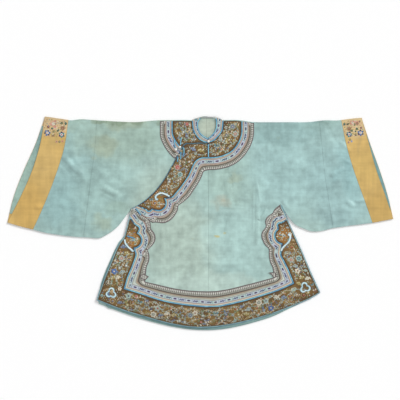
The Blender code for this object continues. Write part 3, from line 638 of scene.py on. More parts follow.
STAINS = [
    (66, -50, 13, 6, (186, 176, 112), 0.8), (95, -38, 8, 6, (184, 180, 124), 0.6),
    (57, -48, 6, 4, (186, 176, 112), 0.5), (88, 88, 12, 10, (178, 178, 158), 0.5),
    (-30, -60, 7, 5, (168, 180, 158), 0.4), (-410, 250, 14, 9, (160, 172, 150), 0.4),
    (300, 330, 10, 8, (150, 178, 166), 0.4),
]


def silk_finish():
    """Turquoise silk with a tone-on-tone woven figure, greener to the left, with the marks of age, painted
    shade along its rims and, mixed with stains, along the shoulder fold.
    """
    silk = Finish("turquoise_silk", Roughness=0.52, Sheen_Weight=0.25, Sheen_Roughness=0.4)
    colour = silk.patches((163, 193, 187), SILK_PATCHES, 0.05)
    colour = silk.patches(colour, STAINS, 0.004)
    cloudy = silk.uneven(0.66, 9.0, 5.0) + silk.uneven(0.66, 40.0, 5.0)
    threads = silk.uneven(0.24, 90.0, 2.0, (0.12, 1, 1)) + silk.uneven(0.18, 95.0, 2.0, (1, 0.1, 1))
    figure = damask(silk)
    # seam: painted shade along every rim of the cloth, at the seams, over the shoulder fold and at the edges;
    # it also lowers the bump there
    seam = silk.fact("rim").between(2.6 * MM, 0.4 * MM)
    amount = cloudy + threads + figure * 0.03 - seam * 0.1
    colour = silk.shaded(colour, amount)
    height = silk.weave() * 0.25 + figure * 0.3 + silk.noise(420.0, 2.0) * 0.5 - seam * 0.8
    return silk.done(colour, height, 0.12 * MM, 0.5 - figure * 0.05)


def damask(silk):
    """Small woven flowers in rings, in rows set half a step apart: 1 on the figure and 0 on the ground."""
    step = 52 * MM
    row = (silk.y / step).math("FLOOR")
    across = ((silk.x + row * (step / 2)) % step) - step / 2
    up = (silk.y % step) - step / 2
    far = (across * across + up * up).math("SQRT")
    turn = up.math("ARCTAN2", across)
    petals = (turn * 5).sine() * (4 * MM) + 11 * MM
    flower = (far - petals).between(1.2 * MM, -0.2 * MM)
    heart = far.near(4.5 * MM, 0.6 * MM, 0.6 * MM)
    ring = far.near(19 * MM, 0.8 * MM, 0.8 * MM) * (turn * 9).sine().between(-0.3, 0.3)
    return flower - heart + ring


# Patches of the yellow bands
BAND_PATCHES = [
    (-560, 385, 75, 60, (212, 186, 142), 1.0), (590, 382, 70, 60, (209, 183, 138), 1.0),
    (-560, 380, 90, 45, (214, 186, 140), 0.7), (-600, 240, 70, 90, (209, 176, 108), 0.7),
    (-660, 60, 90, 120, (203, 165, 90), 0.8), (590, 375, 70, 60, (214, 190, 140), 0.7),
    (640, 220, 70, 90, (206, 173, 100), 0.7), (690, 60, 70, 80, (198, 163, 92), 0.8),
    (-563, 325, 20, 40, (190, 164, 104), 0.5), (-610, 215, 50, 12, (192, 162, 100), 0.5),
    (612, 300, 8, 60, (190, 162, 104), 0.5),
]


def band_finish():
    """Yellow silk with worn streaks, paler at the shoulder, with painted shade along every rim."""
    band = Finish("yellow_silk", Roughness=0.5, Sheen_Weight=0.2, Sheen_Roughness=0.4)
    colour = band.patches((206, 172, 102), BAND_PATCHES, 0.02)
    streaks = band.uneven(0.28, 90.0, 3.0, (1, 0.08, 1)) + band.uneven(0.24, 100.0, 3.0, (0.1, 1, 1))
    cloudy = band.uneven(0.5, 24.0, 5.0)
    # seam: painted shade along every rim of the band, which also lowers its bump there
    seam = band.fact("rim").between(2.6 * MM, 0.4 * MM)
    height = band.weave() * 0.3 + band.noise(420.0, 2.0) * 0.5 - seam
    return band.done(band.shaded(colour, streaks + cloudy - seam * 0.16), height, 0.12 * MM)


# Patches of the lining
LINING_PATCHES = [
    (27, 370, 60, 60, (186, 199, 182), 1.0), (-690, 150, 110, 270, (156, 184, 172), 1.0),
    (700, 150, 90, 240, (116, 160, 162), 0.8), (0, -400, 300, 40, (112, 146, 146), 0.6),
]


def lining_finish():
    """Thin pale green silk, with the centre-back seam."""
    lining = Finish("pale_green_lining", Roughness=0.6)
    colour = lining.patches((128, 160, 156), LINING_PATCHES, 0.01)
    centre = lining.x.near(23.9 * MM, 0.5 * MM, 1.2 * MM)
    amount = lining.uneven(0.6, 60.0, 4.0) + lining.uneven(0.3, 18.0) - centre * 0.2
    return lining.done(lining.shaded(colour, amount), lining.weave() - centre * 2, 0.12 * MM)


# Where the satin shows golden, chiefly in the lobes
GOLDEN = [
    (-161, 78, 42, 40, (158, 110, 46), 0.9), (-258, -62, 40, 44, (160, 114, 46), 0.9),
    (322, -46, 44, 44, (158, 110, 48), 0.9), (-120, 130, 40, 40, (140, 104, 56), 0.6),
    (340, -120, 60, 60, (140, 106, 58), 0.5), (-300, -150, 60, 70, (138, 108, 58), 0.5),
]


def border_finish():
    """Brown satin, with a dark braid and a gold line couched beside the blue piping."""
    border = Finish("brown_satin", Roughness=0.6)
    across, rim = border.fact("across"), border.fact("rim")
    colour = border.mix(border.noise(16.0, 4.0).between(0.35, 0.65), (92, 67, 31), (122, 94, 46))
    colour = border.mix(border.noise(38.0, 3.0).between(0.6, 0.7) * 0.6, colour, (152, 124, 66))
    colour = border.patches(colour, GOLDEN, 0.004)
    line = across.near(-5.8 * MM, 0.8 * MM, 0.5 * MM)
    braid = across.near(-3.4 * MM, 1.3 * MM, 0.4 * MM).math("MAXIMUM", rim.near(3.6 * MM, 1.0 * MM, 0.4 * MM))
    colour = border.over(colour, [
        (line, (142, 104, 48)), (braid * 0.85, (84, 58, 28)),
        (rim.between(2.4 * MM, 1.4 * MM) * 0.8, (56, 50, 38)),
    ])
    ribs = (border.x * 2400 + border.y * 1500).sine() * 0.06 + border.uneven(0.3, 300.0, 2.0)
    height = border.weave(0.7 * MM, 0.7 * MM) * 0.3 + line * 1.5 + border.noise(200.0, 2.0)
    return border.done(border.shaded(colour, ribs), height, 0.25 * MM)


def piping_finish(name, dark, light, edge, width):
    """Satin cut on the cross, with slanting ribs from its cord, sewn down; where a width is given, the edge
    colour is painted shade along the rim of the rounded cord.
    """
    piping = Finish(name, Roughness=0.42, Sheen_Weight=0.2)
    slant = (piping.x + piping.y).waves(1.6 * MM)
    patch = piping.noise(40.0, 3.0).between(0.35, 0.65)
    colour = piping.mix(patch, dark, light)
    if width:
        # The edge colour is painted shade where the rounded cord turns down at its rim
        colour = piping.mix(piping.fact("rim").between(width, 0.3 * width), colour, edge)
    return piping.done(piping.shaded(colour, slant * 0.05), slant, 0.12 * MM)


def figured_finish():
    """Pale ribbon: down its middle a dark spray and a wave in turn, with bars between, and peach lines."""
    ribbon = Finish("figured_ribbon", Roughness=0.5, Sheen_Weight=0.2)
    along, middle, rim = (ribbon.fact(name) for name in ("along", "middle", "rim"))
    step = 27 * MM
    phase = along % step - step / 2
    turn = (along / step).math("FLOOR") % 2
    wave = (middle - phase.waves(6.5 * MM) * 1.8 * MM).near(0, 2.1 * MM, 0.5 * MM)
    wave = wave * phase.near(0, 9 * MM, 1 * MM)
    far = (phase / 6.4) * (phase / 6.4) + (middle / 3) * (middle / 3)
    spray = far.between(1.2 * MM * MM, 0.8 * MM * MM)
    figure = wave * (1 - turn) + spray * turn
    bars = abs(phase).between(12.3 * MM, 12.8 * MM) * middle.near(0, 5 * MM, 0.6 * MM)
    dots = ((along % (4.5 * MM)) - 2.2 * MM).near(0, 1.3 * MM, 0.5 * MM)
    colour = ribbon.mix(ribbon.noise(30.0).between(0.4, 0.6), (186, 194, 206), (178, 200, 196))
    colour = ribbon.over(colour, [
        (bars * 0.9, (96, 134, 142)),
        (figure, ribbon.mix(turn, (40, 52, 104), (70, 44, 92))),
        (abs(middle).near(8.7 * MM, 1.0 * MM, 0.5 * MM), ribbon.mix(dots, (208, 182, 156), (176, 124, 112))),
        (abs(middle).near(6.9 * MM, 0.4 * MM, 0.4 * MM), (120, 136, 136)),
        # A pale line just beside the piping: painted highlight
        ((middle + 11.5 * MM).near(0, 0.8 * MM, 0.5 * MM), (208, 204, 172)),
        (rim.between(1.4 * MM, 0.6 * MM) * 0.6, (150, 140, 122)),
    ])
    ribs = along.waves(1.1 * MM)
    amount = ribbon.uneven(0.2, 70.0) + ribs * 0.03
    return ribbon.done(ribbon.shaded(colour, amount), ribs * 0.4 + figure * 1.4, 0.2 * MM)


def lace_finish():
    """Grey-brown ribbon: dark edges, a row of cells between them, and a tan selvedge on the inner side."""
    lace = Finish("lattice_ribbon", Roughness=0.7)
    along, edge = lace.fact("along"), lace.fact("edge")
    cell = (along % (7.2 * MM)) / (7.2 * MM) - 0.5
    rise = (edge - 3.6 * MM) / (9.4 * MM)
    within = rise.near(0.5, 0.5, 0.05)
    arch = (rise - (0.25 - cell * cell) * 3.2).near(0.08, 0.09, 0.07) * within
    posts = abs(cell).between(0.3, 0.38) * within
    lines = edge.near(1.6 * MM, 1.6 * MM, 0.5 * MM).math("MAXIMUM", edge.near(15.5 * MM, 1.5 * MM, 0.5 * MM))
    colour = lace.mix(rise.between(0.2, 0.9), (208, 207, 199), (193, 197, 183))
    colour = lace.over(colour, [
        (posts * 0.9, (86, 78, 74)),
        (arch * 0.8, (102, 96, 90)),
        (edge.between(16.4 * MM, 17.0 * MM), (192, 174, 152)),
        (edge.between(21.2 * MM, 21.8 * MM), (198, 206, 196)),
        (edge.near(21.4 * MM, 0.5 * MM, 0.4 * MM) * 0.8, (126, 136, 120)),
        (edge.near(18.4 * MM, 0.6 * MM, 0.4 * MM) * 0.75, (112, 100, 88)),
        (lines * 0.9, lace.mix(edge.between(6 * MM, 9 * MM), (92, 80, 80), (70, 58, 50))),
    ])
    ribs = along.waves(1.3 * MM)
    amount = lace.uneven(0.3, 90.0) + ribs * 0.04
    return lace.done(lace.shaded(colour, amount), ribs * 0.5 + arch + lines * 1.6 + posts, 0.3 * MM)


def thread_finish():
    """Satin stitch: each stitched shape carries its own colour, and lines of floss run along it."""
    thread = Finish("embroidery_silk", Roughness=0.42, Sheen_Weight=0.3)
    colour = thread.node("ShaderNodeAttribute", {"attribute_name": "thread"})
    floss = thread.fact("floss").waves(0.8 * MM)
    low = thread.y.between(-240 * MM, -320 * MM)
    amount = floss * 0.07 + thread.uneven(0.24, 160.0, 2.0) - low * 0.2 - 0.02
    return thread.done(thread.shaded(colour, amount), floss, 0.15 * MM)


def button_finish():
    """Pale metal, worn in spots."""
    metal = Finish("worn_metal", Roughness=0.35, Metallic=0.15)
    colour = metal.mix(metal.noise(260.0).between(0.4, 0.65), (244, 244, 238), (206, 204, 192))
    return metal.done(colour, metal.noise(500.0, 2.0), 0.1 * MM, metal.noise(180.0) * 0.3 + 0.2)


FINISHES = {
    "silk": silk_finish(),
    "cuff_silk": band_finish(),
    "lining": lining_finish(),
    "embroidery": border_finish(),
    # The fourth colour of each is painted shade along its rim; the teal one, with no width, shows none
    "piping": piping_finish("blue_satin", (84, 160, 200), (132, 204, 226), (52, 92, 120), 0.9 * MM),
    "teal_piping": piping_finish("teal_satin", (66, 124, 156), (100, 160, 184), (66, 120, 146), 0),
    "pale_ribbon": piping_finish("pale_satin", (190, 222, 228), (220, 237, 237), (96, 164, 200), 1.0 * MM),
    "figured_ribbon": figured_finish(),
    "lace": lace_finish(),
    "thread": thread_finish(),
    "button": button_finish(),
}

NOT_SLOTS = ("teal_piping", "thread")


def sewn(node):
    return f"sewn_{node}"


def area_of(spots, triangles):
    return float(abs(turning(spots, triangles)).sum() / 2)


def extent(spots):
    """How wide and how long a piece is."""
    return float(np.ptp(spots.real)), float(np.ptp(spots.imag))


# Narrowest strip width that a cut is given, and how little of its own rectangle a winding strip fills
NARROWEST_CUT = 12 * MM
WINDING = 0.32


def declare_cut(piece, width, length, area, rests_on, with_pieces=(), strip=None):
    """Works out the size that the piece was cut to, its rectangle or a winding strip's width and run, and
    does nothing more with it.
    """
    if strip and area < WINDING * width * length:
        width, length = strip, area / strip
    min(area, width * length)


def folded(node, finish, ground, rests_on):
    """A length of cloth that turns over along the shoulder: its front lies on its back."""
    panels = []
    for looks_up, spacing in ((True, FINE), (False, COARSE)):
        loops = [rounded(loop, EDGE_STEP) for loop in outlines(node, looks_up)]
        dots = lattice(loops, spacing)
        if looks_up:
            dots = np.concatenate([dots, crease_lines(spacing)])
        spots, triangles = filled(loops, spacing, dots)
        panels.append((spots, triangles, rim_distance(spots, loops)))
        if looks_up:
            front_loops = loops
    (front, front_faces, front_rim), (back, back_faces, back_rim) = panels
    front_fold, back_fold = shared_fold(front, front_faces, back, back_faces)
    top = FRONT_LOW + WALL + GROUNDS[ground](front)
    floor = bends(back, BACK_CREASES)
    walls = Walls()
    above, below = walls.wall(front, front_faces, top, top - CLOTH, {"rim": front_rim}, front_fold)
    ceiling = np.full(len(back), WALL)
    back_above, back_below = walls.wall(back, back_faces, ceiling, floor, {"rim": back_rim}, back_fold)
    turn_over(walls, (front, above, below, front_fold, top), (back_above, back_below, back_fold, floor))
    piece = walls.piece(sewn(node), finish)
    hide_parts(node)
    area = area_of(front, front_faces) + area_of(back, back_faces)
    on_it = [band_flowers(node, front_loops)] if finish == "cuff_silk" else []
    declare_cut(piece, extent(back)[0], extent(front)[1] + extent(back)[1], area, rests_on, on_it)


def shared_fold(front, front_faces, back, back_faces):
    """The rim points of the front and of the back that meet along the shoulder, from left to right."""
    rims = [np.unique(rim_edges(faces)) for faces in (front_faces, back_faces)]
    crest = np.interp(front[rims[0]].real, SHOULDER_FOLD.real, SHOULDER_FOLD.imag)
    rims[0] = rims[0][abs(front[rims[0]].imag - crest) < NEAR_FOLD]
    apart = abs(front[rims[0]][:, None] - back[rims[1]][None, :])
    near = [k for k in range(len(rims[0])) if apart[k].min() < NEAR_PAIR]
    pairs = [(rims[0][k], rims[1][apart[k].argmin()]) for k in near]
    pairs.sort(key=lambda pair: front[pair[0]].real)
    return np.array([a for a, _ in pairs]), np.array([b for _, b in pairs])


def turn_over(walls, front, back):
    """The round bend between the rims of a front wall and a back wall, and its closed ends."""
    spots, above, below, fold, top = front
    back_above, back_below, back_fold, floor = back
    radius = (top[fold] - floor[back_fold]) / 2
    rows = [fold + above]
    for angle in BEND:
        out = spots[fold] + 1j * radius * math.sin(angle)
        height = floor[back_fold] + radius * (1 + math.cos(angle))
        first = walls.layer(out, height, {"rim": np.zeros(len(fold))})
        rows.append(np.arange(first, first + len(fold)))
    rows += [back_fold + back_below, back_fold + back_above, fold + below]
    ring = np.array(rows)
    # Rows 0 to 6 go round the outside of the bend, and rows 7 and 8 are its inside
    for k in range(len(fold) - 1):
        for j in (0, 1, 2, 3, 4, 5, 7):
            walls.faces.append((ring[j][k], ring[j][k + 1], ring[j + 1][k + 1], ring[j + 1][k]))
    walls.faces.append(tuple(ring[:, 0]))
    walls.faces.append(tuple(ring[::-1, -1]))


def lace_facts(spots, across, outer, route):
    """How far each point is from the lace's outer edge, drawn in where the lace is wide so that its lines
    stay even, and how far along that edge."""
    far = nearest(outer, ROUTES[route])[2] > LACE_OUTER
    edge, along = np.full(len(spots), np.inf), np.zeros(len(spots))
    run = 0.0
    for start, end, first, last in zip(outer, np.roll(outer, -1), far, np.roll(far, -1)):
        if first and last:
            away, reached, _ = nearest(spots, [start, end])
            near = away < edge
            edge[near], along[near] = away[near], (run + reached)[near]
        run += abs(end - start)
    width = edge + across - LACE_START
    band = LACE_BAND + LACE_SPREAD * (width - LACE_NARROW)
    return {"edge": edge * LACE_BAND / band, "along": along}


def flat(node, finish, ground, base, thick, spacing, rests_on=(), route=None, dots=None, domed=0.0,
         cut=True, corner=CORNER):
    """One piece of cloth, ribbon or piping in the outline of its solid."""
    loops = [rounded(loop, EDGE_STEP, corner) for loop in outlines(node)]
    spots, triangles = filled(loops, spacing, dots)
    rim = rim_distance(spots, loops)
    bottom = base + GROUNDS[ground](spots)
    share = np.ones(len(spots))
    if domed:
        share = DOME_FOOT + (1 - DOME_FOOT) * np.sqrt(1 - (1 - np.minimum(1, rim / domed)) ** 2)
    facts = {"rim": rim}
    if route:
        _, along, across = nearest(spots, ROUTES[route])
        facts |= {"along": along, "across": across, "middle": across - FIGURE_LINE.get(route, FIGURE_MIDDLE)}
        if finish == "lace":
            facts |= lace_facts(spots, across, max(loops, key=len), route)
    walls = Walls()
    walls.wall(spots, triangles, bottom + thick * share, bottom, facts)
    piece = walls.piece(sewn(node), finish)
    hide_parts(node)
    if cut:
        area = area_of(spots, triangles)
        strip = max(NARROWEST_CUT, float(np.percentile(rim, 98)) * 2)
        if route and finish in ("figured_ribbon", "lace"):
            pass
        else:
            on_it = [embroidered(node, ground, loops, route)] if finish == "embroidery" else []
            declare_cut(piece, *extent(spots), area, rests_on, on_it, strip)
    return piece


def route_dots(route, offsets):
    """Points beside a route, at these distances to its left."""
    line = ROUTES[route]
    return np.concatenate([line + left_of(line) * offset for offset in offsets])


def tube(name, finish, spots, heights, radius, sides=10):
    """A thin round cord through these points."""
    side = left_of(spots)
    walls = Walls()
    rings = []
    for angle in np.arange(sides) * 2 * math.pi / sides:
        first = walls.layer(spots + side * radius * math.cos(angle), heights + radius * math.sin(angle), {})
        rings.append(first)
    count = len(spots)
    for k in range(sides):
        a, b = rings[k], rings[(k + 1) % sides]
        walls.faces += [(a + j, b + j, b + j + 1, a + j + 1) for j in range(count - 1)]
    walls.faces.append(rings)
    walls.faces.append([ring + count - 1 for ring in reversed(rings)])
    return walls.piece(name, finish)


# Colours of the embroidery silks
CREAM, WHITE, AQUA, LILAC = (228, 220, 198), (238, 238, 232), (172, 194, 184), (150, 158, 192)
BLUE, NAVY, TEAL, PEACH = (74, 112, 172), (38, 52, 98), (84, 142, 150), (212, 162, 132)
OLIVE, LEAF, DEEP, RED = (168, 152, 84), (112, 136, 94), (62, 92, 64), (190, 76, 74)
PINK, TAN, RUST, SAND = (226, 142, 136), (176, 144, 104), (150, 88, 48), (204, 182, 138)
STONE, DUSTY, ROSE, MIST = (152, 160, 148), (108, 126, 158), (194, 146, 130), (176, 190, 180)
STEM_SILKS = (AQUA, CREAM, STONE, MIST, SAND)
LEAF_SILKS = (LEAF, OLIVE, MIST, STONE, AQUA, CREAM, SAND, DUSTY)
FILLER_SILKS = (LEAF, OLIVE, CREAM, AQUA, SAND, STONE, MIST, DUSTY, PEACH)
SPRIG_SILKS = (SAND, CREAM, TAN, PEACH, OLIVE, STONE)
# How high a padded shape stands, how much higher one worked on it, and how deep its rim goes into the cloth
PAD, SECOND, SUNK = 0.55 * MM, 0.3 * MM, 0.1 * MM


class Stitches:
    """Satin stitch raised on cloth. Shapes and cords are gathered flat, and laid on the ground together."""

    def __init__(self):
        self.spots, self.rises, self.threads, self.floss, self.faces = [], [], [], [], []
        self.count = 0

    def points(self, spots, rise, colour, floss):
        """Adds points that stand a rise above the cloth, and returns their numbers."""
        self.spots.append(spots)
        self.rises.append(np.full(len(spots), rise))
        self.threads.append(np.tile(tone(*colour), (len(spots), 1)))
        self.floss.append(floss)
        self.count += len(spots)
        return list(range(self.count - len(spots), self.count))

    def shape(self, loop, colour, lift=0.0):
        """A padded shape: its rim goes into the cloth and its middle stands up. Its floss runs lengthwise."""
        middle = loop.mean()
        unit = loop[len(loop) // 2] - loop[0]
        unit = unit / abs(unit)
        inner = middle + (loop - middle) * 0.7
        rows = []
        for spots, rise in ((loop, -SUNK), (inner, lift + 0.8 * PAD), (np.array([middle]), lift + PAD)):
            rows.append(self.points(spots, rise, colour, ((spots - middle) * np.conj(unit)).imag))
        rim, ring, top = rows
        for k in range(len(rim)):
            after = (k + 1) % len(rim)
            self.faces.append((rim[k], rim[after], ring[after], ring[k]))
            self.faces.append((ring[k], ring[after], top[0]))
        self.faces.append(tuple(rim[::-1]))

    def cord(self, line, colour, width):
        """A couched cord along a line."""
        side = left_of(line) * width / 2
        right, crest, left = (self.points(line + side * k, rise, colour, passed(line)) for k, rise in
                              ((-1, -SUNK), (0, PAD), (1, -SUNK)))
        for a in range(len(line) - 1):
            for low, high in ((right, crest), (crest, left), (left, right)):
                self.faces.append((low[a], low[a + 1], high[a + 1], high[a]))
        self.faces.append((right[0], crest[0], left[0]))
        self.faces.append((left[-1], crest[-1], right[-1]))

    def piece(self, name, ground, base):
        """Lays everything on the ground, and makes it one piece."""
        spots = np.concatenate(self.spots)
        walls = Walls()
        facts = {"thread": np.concatenate(self.threads), "floss": np.concatenate(self.floss)}
        walls.layer(spots, base + np.concatenate(self.rises) + GROUNDS[ground](spots), facts)
        walls.faces = self.faces
        return walls.piece(name, "thread")


def disc(middle, radius):
    """An eight-sided dot."""
    return middle + radius * np.exp(1j * np.arange(8) * math.pi / 4)


def petal(foot, tip, width):
    """An almond from its foot to its tip."""
    t = np.linspace(0, 1, 5)
    line = foot + (tip - foot) * t
    side = 1j * (tip - foot) / abs(tip - foot) * width / 2 * np.sin(math.pi * t ** 0.8)
    return np.concatenate([line - side, (line + side)[-2:0:-1]])


def leaf(outer, inner):
    """A leaf with its vein."""
    return [(petal(-1.0, 1.0, 1.5), outer, 0), (petal(-0.6, 0.8, 0.4), inner, SECOND)]


def ringed(outer, inner):
    """A flower of two blues round a white ring."""
    rows = [(loop, NAVY if k % 2 else outer, 0) for k, loop in enumerate(wheel(6, 0.2, 1.05, 0.72))]
    return rows + [(disc(0, 0.5), WHITE, SECOND), (disc(0, 0.28), inner, 2 * SECOND)]


def wheel(count, foot, tip, width, turn=0.0):
    """Petals round a middle."""
    return [petal(foot, tip, width) * np.exp(1j * (turn + k * 2 * math.pi / count)) for k in range(count)]


# Each motif is about one unit in radius: rows of an outline, its colour and its lift, None for a cord
def blossom(outer, inner):
    rows = [(loop, outer, 0) for loop in wheel(5, 0.12, 1.0, 0.8)]
    return rows + [(disc(0, 0.24), inner, SECOND)]


def peony(outer, inner):
    rows = [(loop, outer, 0) for loop in wheel(7, 0.3, 1.0, 0.66)]
    rows += [(loop, inner, SECOND) for loop in wheel(5, 0.06, 0.62, 0.46, 0.4)]
    return rows + [(disc(0, 0.15), CREAM, 2 * SECOND)]


def butterfly(outer, inner):
    wings = [(petal(0.06 * s + 0.05j, 0.86 * s + 0.5j, 0.6), outer, 0) for s in (-1, 1)]
    wings += [(petal(0.06 * s, 0.6 * s - 0.55j, 0.42), inner, 0) for s in (-1, 1)]
    wings += [(disc(0.55 * s + 0.33j, 0.12), inner, SECOND) for s in (-1, 1)]
    return wings + [(petal(-0.55j, 0.5j, 0.2), NAVY, SECOND)]


def cloud(outer, inner):
    lobes = [(-0.58, -0.05, 0.34), (-0.12, 0.26, 0.4), (0.42, 0.06, 0.36), (0.0, -0.2, 0.34)]
    rows = [(disc(complex(x, y), r), outer, 0) for x, y, r in lobes]
    rows += [(disc(complex(x, y), r * 0.5), inner, SECOND) for x, y, r in lobes[:3]]
    return rows + [(petal(0.5 - 0.2j, 1.05 - 0.5j, 0.24), outer, 0)]


def spray(outer, inner):
    run = np.linspace(-1, 1, 9)
    stem = run + 0.22j * np.sin(run * 2)
    rows = [(stem, TAN, None)]
    for k, at in enumerate(stem[1:-1]):
        way = 0.5 * np.exp(1j * (0.95 if k % 2 else -0.95))
        rows.append((petal(at, at + way, 0.25), outer if k % 3 else inner, 0))
    return rows


def gourd(outer, inner):
    rows = [(disc(-0.42j, 0.5), outer, 0), (disc(0.32j, 0.33), outer, 0), (petal(0.55j, 1j, 0.22), LEAF, 0)]
    rows += [(petal(0.7j, s * 0.62 + 0.62j, 0.26), LEAF, 0) for s in (-1, 1)]
    return rows + [(disc(-0.42j, 0.25), inner, SECOND)]


def scroll(outer, inner):
    t = np.linspace(0, 1, 16)
    curl = (1 - 0.8 * t) * np.exp(1j * 9 * t)
    return [(curl, outer, None), (disc(0, 0.22), inner, 0), (petal(1.0, 1.0 - 0.8j, 0.3), LEAF, 0)]


def bud(outer, inner):
    rows = [(petal(-0.1, 0.9, 0.6), outer, 0), (petal(-0.1, 0.62, 0.26), inner, SECOND)]
    return rows + [(petal(-0.9, -0.05, 0.3), LEAF, 0), (petal(-0.4, -0.1 + 0.6j, 0.26), LEAF, 0)]


MOTIFS = [
    (peony, [(CREAM, STONE), (ROSE, RED), (DUSTY, CREAM), (MIST, ROSE), (STONE, DUSTY), (AQUA, TEAL)]),
    (blossom, [(CREAM, RUST), (BLUE, CREAM), (STONE, WHITE), (MIST, RED), (AQUA, NAVY)]),
    (butterfly, [(DUSTY, CREAM), (CREAM, RUST), (TEAL, MIST), (STONE, NAVY)]),
    (cloud, [(CREAM, AQUA), (MIST, DUSTY), (AQUA, STONE), (SAND, TAN)]),
    (cloud, [(STONE, CREAM), (DUSTY, MIST), (OLIVE, CREAM)]),
    (spray, [(LEAF, OLIVE), (AQUA, LEAF), (OLIVE, CREAM), (CREAM, STONE)]),
    (spray, [(STONE, MIST), (MIST, AQUA), (SAND, CREAM)]),
    (gourd, [(OLIVE, CREAM), (STONE, WHITE), (SAND, RUST), (DUSTY, MIST)]),
    (scroll, [(SAND, RED), (CREAM, BLUE), (AQUA, CREAM)]),
    (bud, [(ROSE, RED), (CREAM, DUSTY), (PEACH, RUST), (MIST, BLUE)]),
]
# Motifs: how far apart, the largest radius, and the least room for one
MOTIF_STEP, MOTIF_MOST, MOTIF_LEAST = 27 * MM, 15 * MM, 4 * MM
# Small shapes between them, the same, and how clear of the motifs; most are leaves, the rest dots
FILLER_STEP, FILLER_MOST, FILLER_LEAST = 8.5 * MM, 5 * MM, 1.2 * MM
FILLER_CLEAR, LEAF_SHARE = 0.8 * MM, 0.75
# How far the embroidery keeps from the piping's line and from the border's rim
CLEAR_OF_LINE, CLEAR_OF_RIM = 8 * MM, 1.5 * MM
# Stems that wave beside the piping: how far from it, how far they wave and how fast, and their width
VINES = [17 * MM, 34 * MM, 51 * MM, 68 * MM]
WAVE, WAVE_PACE, STEM = 5 * MM, 8 * MM, 2 * MM
# Their leaves' length and width, how clear of the rim the stems keep, and the widest step in one
VINE_LEAF, VINE_LEAF_WIDTH, VINE_CLEAR, VINE_STEP = 10 * MM, 5 * MM, 2.5 * MM, 9 * MM
# Fewest points of a stem, and how far the places of the embroidery stray, as a share of their step
SHORTEST_STEM, STRAY = 6, 0.2


def vines(stitches, loops, route, rng):
    """Stems that run beside the piping with leaves to both sides."""
    line = ROUTES[route]
    for offset in VINES:
        stem = line - left_of(line) * (offset + WAVE * np.sin(passed(line) / WAVE_PACE + offset / MM))
        beside = -nearest(stem, line)[2]
        good = inside(stem, loops) & (rim_distance(stem, loops) > VINE_CLEAR)
        good &= (beside > CLEAR_OF_LINE) & (abs(beside - offset) < 1.3 * WAVE)
        good[1:] &= abs(np.diff(stem)) < VINE_STEP
        breaks = np.flatnonzero(~good)
        for start, end in zip([-1, *breaks], [*breaks, len(stem)]):
            if end - start < SHORTEST_STEM:
                continue
            stretch = stem[start + 1:end]
            stitches.cord(stretch, rng.choice(STEM_SILKS), STEM)
            for k in range(2, len(stretch) - 2, 3):
                way = np.exp(1j * rng.uniform(0.6, 1.1) * rng.choice((-1, 1))) * (stretch[k + 1] - stretch[k])
                colour = rng.choice(LEAF_SILKS)
                tip = stretch[k] + VINE_LEAF * way / abs(way)
                stitches.shape(petal(stretch[k], tip, VINE_LEAF_WIDTH), colour)


def work(stitches, rows, place, radius, turn):
    """Works one motif at a place."""
    for line, colour, lift in rows:
        line = place + line * radius * np.exp(1j * turn)
        if lift is None:
            stitches.cord(line, colour, max(0.9 * MM, radius * 0.12))
        else:
            stitches.shape(line, colour, lift)


def embroidered(node, ground, loops, route):
    """Flowers, clouds and butterflies scattered over a border, with small leaves and dots between them."""
    rng = random.Random(node)
    stitches = Stitches()

    def scattered(step):
        spots = lattice(loops, step)
        stray = np.array([complex(rng.uniform(-1, 1), rng.uniform(-1, 1)) for _ in spots])
        spots = spots + stray * step * STRAY
        spots = spots[inside(spots, loops)]
        room = rim_distance(spots, loops) - CLEAR_OF_RIM
        return spots, np.minimum(room, -nearest(spots, ROUTES[route])[2] - CLEAR_OF_LINE)

    vines(stitches, loops, route, rng)
    taken = []
    for place, room in zip(*scattered(MOTIF_STEP)):
        if room < MOTIF_LEAST:
            continue
        radius = min(room, MOTIF_MOST) * rng.uniform(0.82, 1.0)
        make, colours = rng.choice(MOTIFS)
        work(stitches, make(*rng.choice(colours)), place, radius, rng.uniform(-0.6, 0.6))
        taken.append((place, radius))
    places = np.array([place for place, _ in taken])
    reaches = np.array([radius for _, radius in taken])
    for place, room in zip(*scattered(FILLER_STEP)):
        if room < FILLER_LEAST or (abs(places - place) - reaches).min() < FILLER_CLEAR:
            continue
        turn = np.exp(1j * rng.uniform(0, 2 * math.pi))
        size = min(room, FILLER_MOST) * rng.uniform(0.6, 1)
        colour = rng.choice(FILLER_SILKS)
        if rng.random() < LEAF_SHARE:
            stitches.shape(place + petal(-size, size, size * 0.9) * turn, colour)
        else:
            stitches.shape(disc(place, size * 0.6), colour)
    return stitches.piece(f"stitches_on_{node}", ground, ON_FRONT + TRIM)


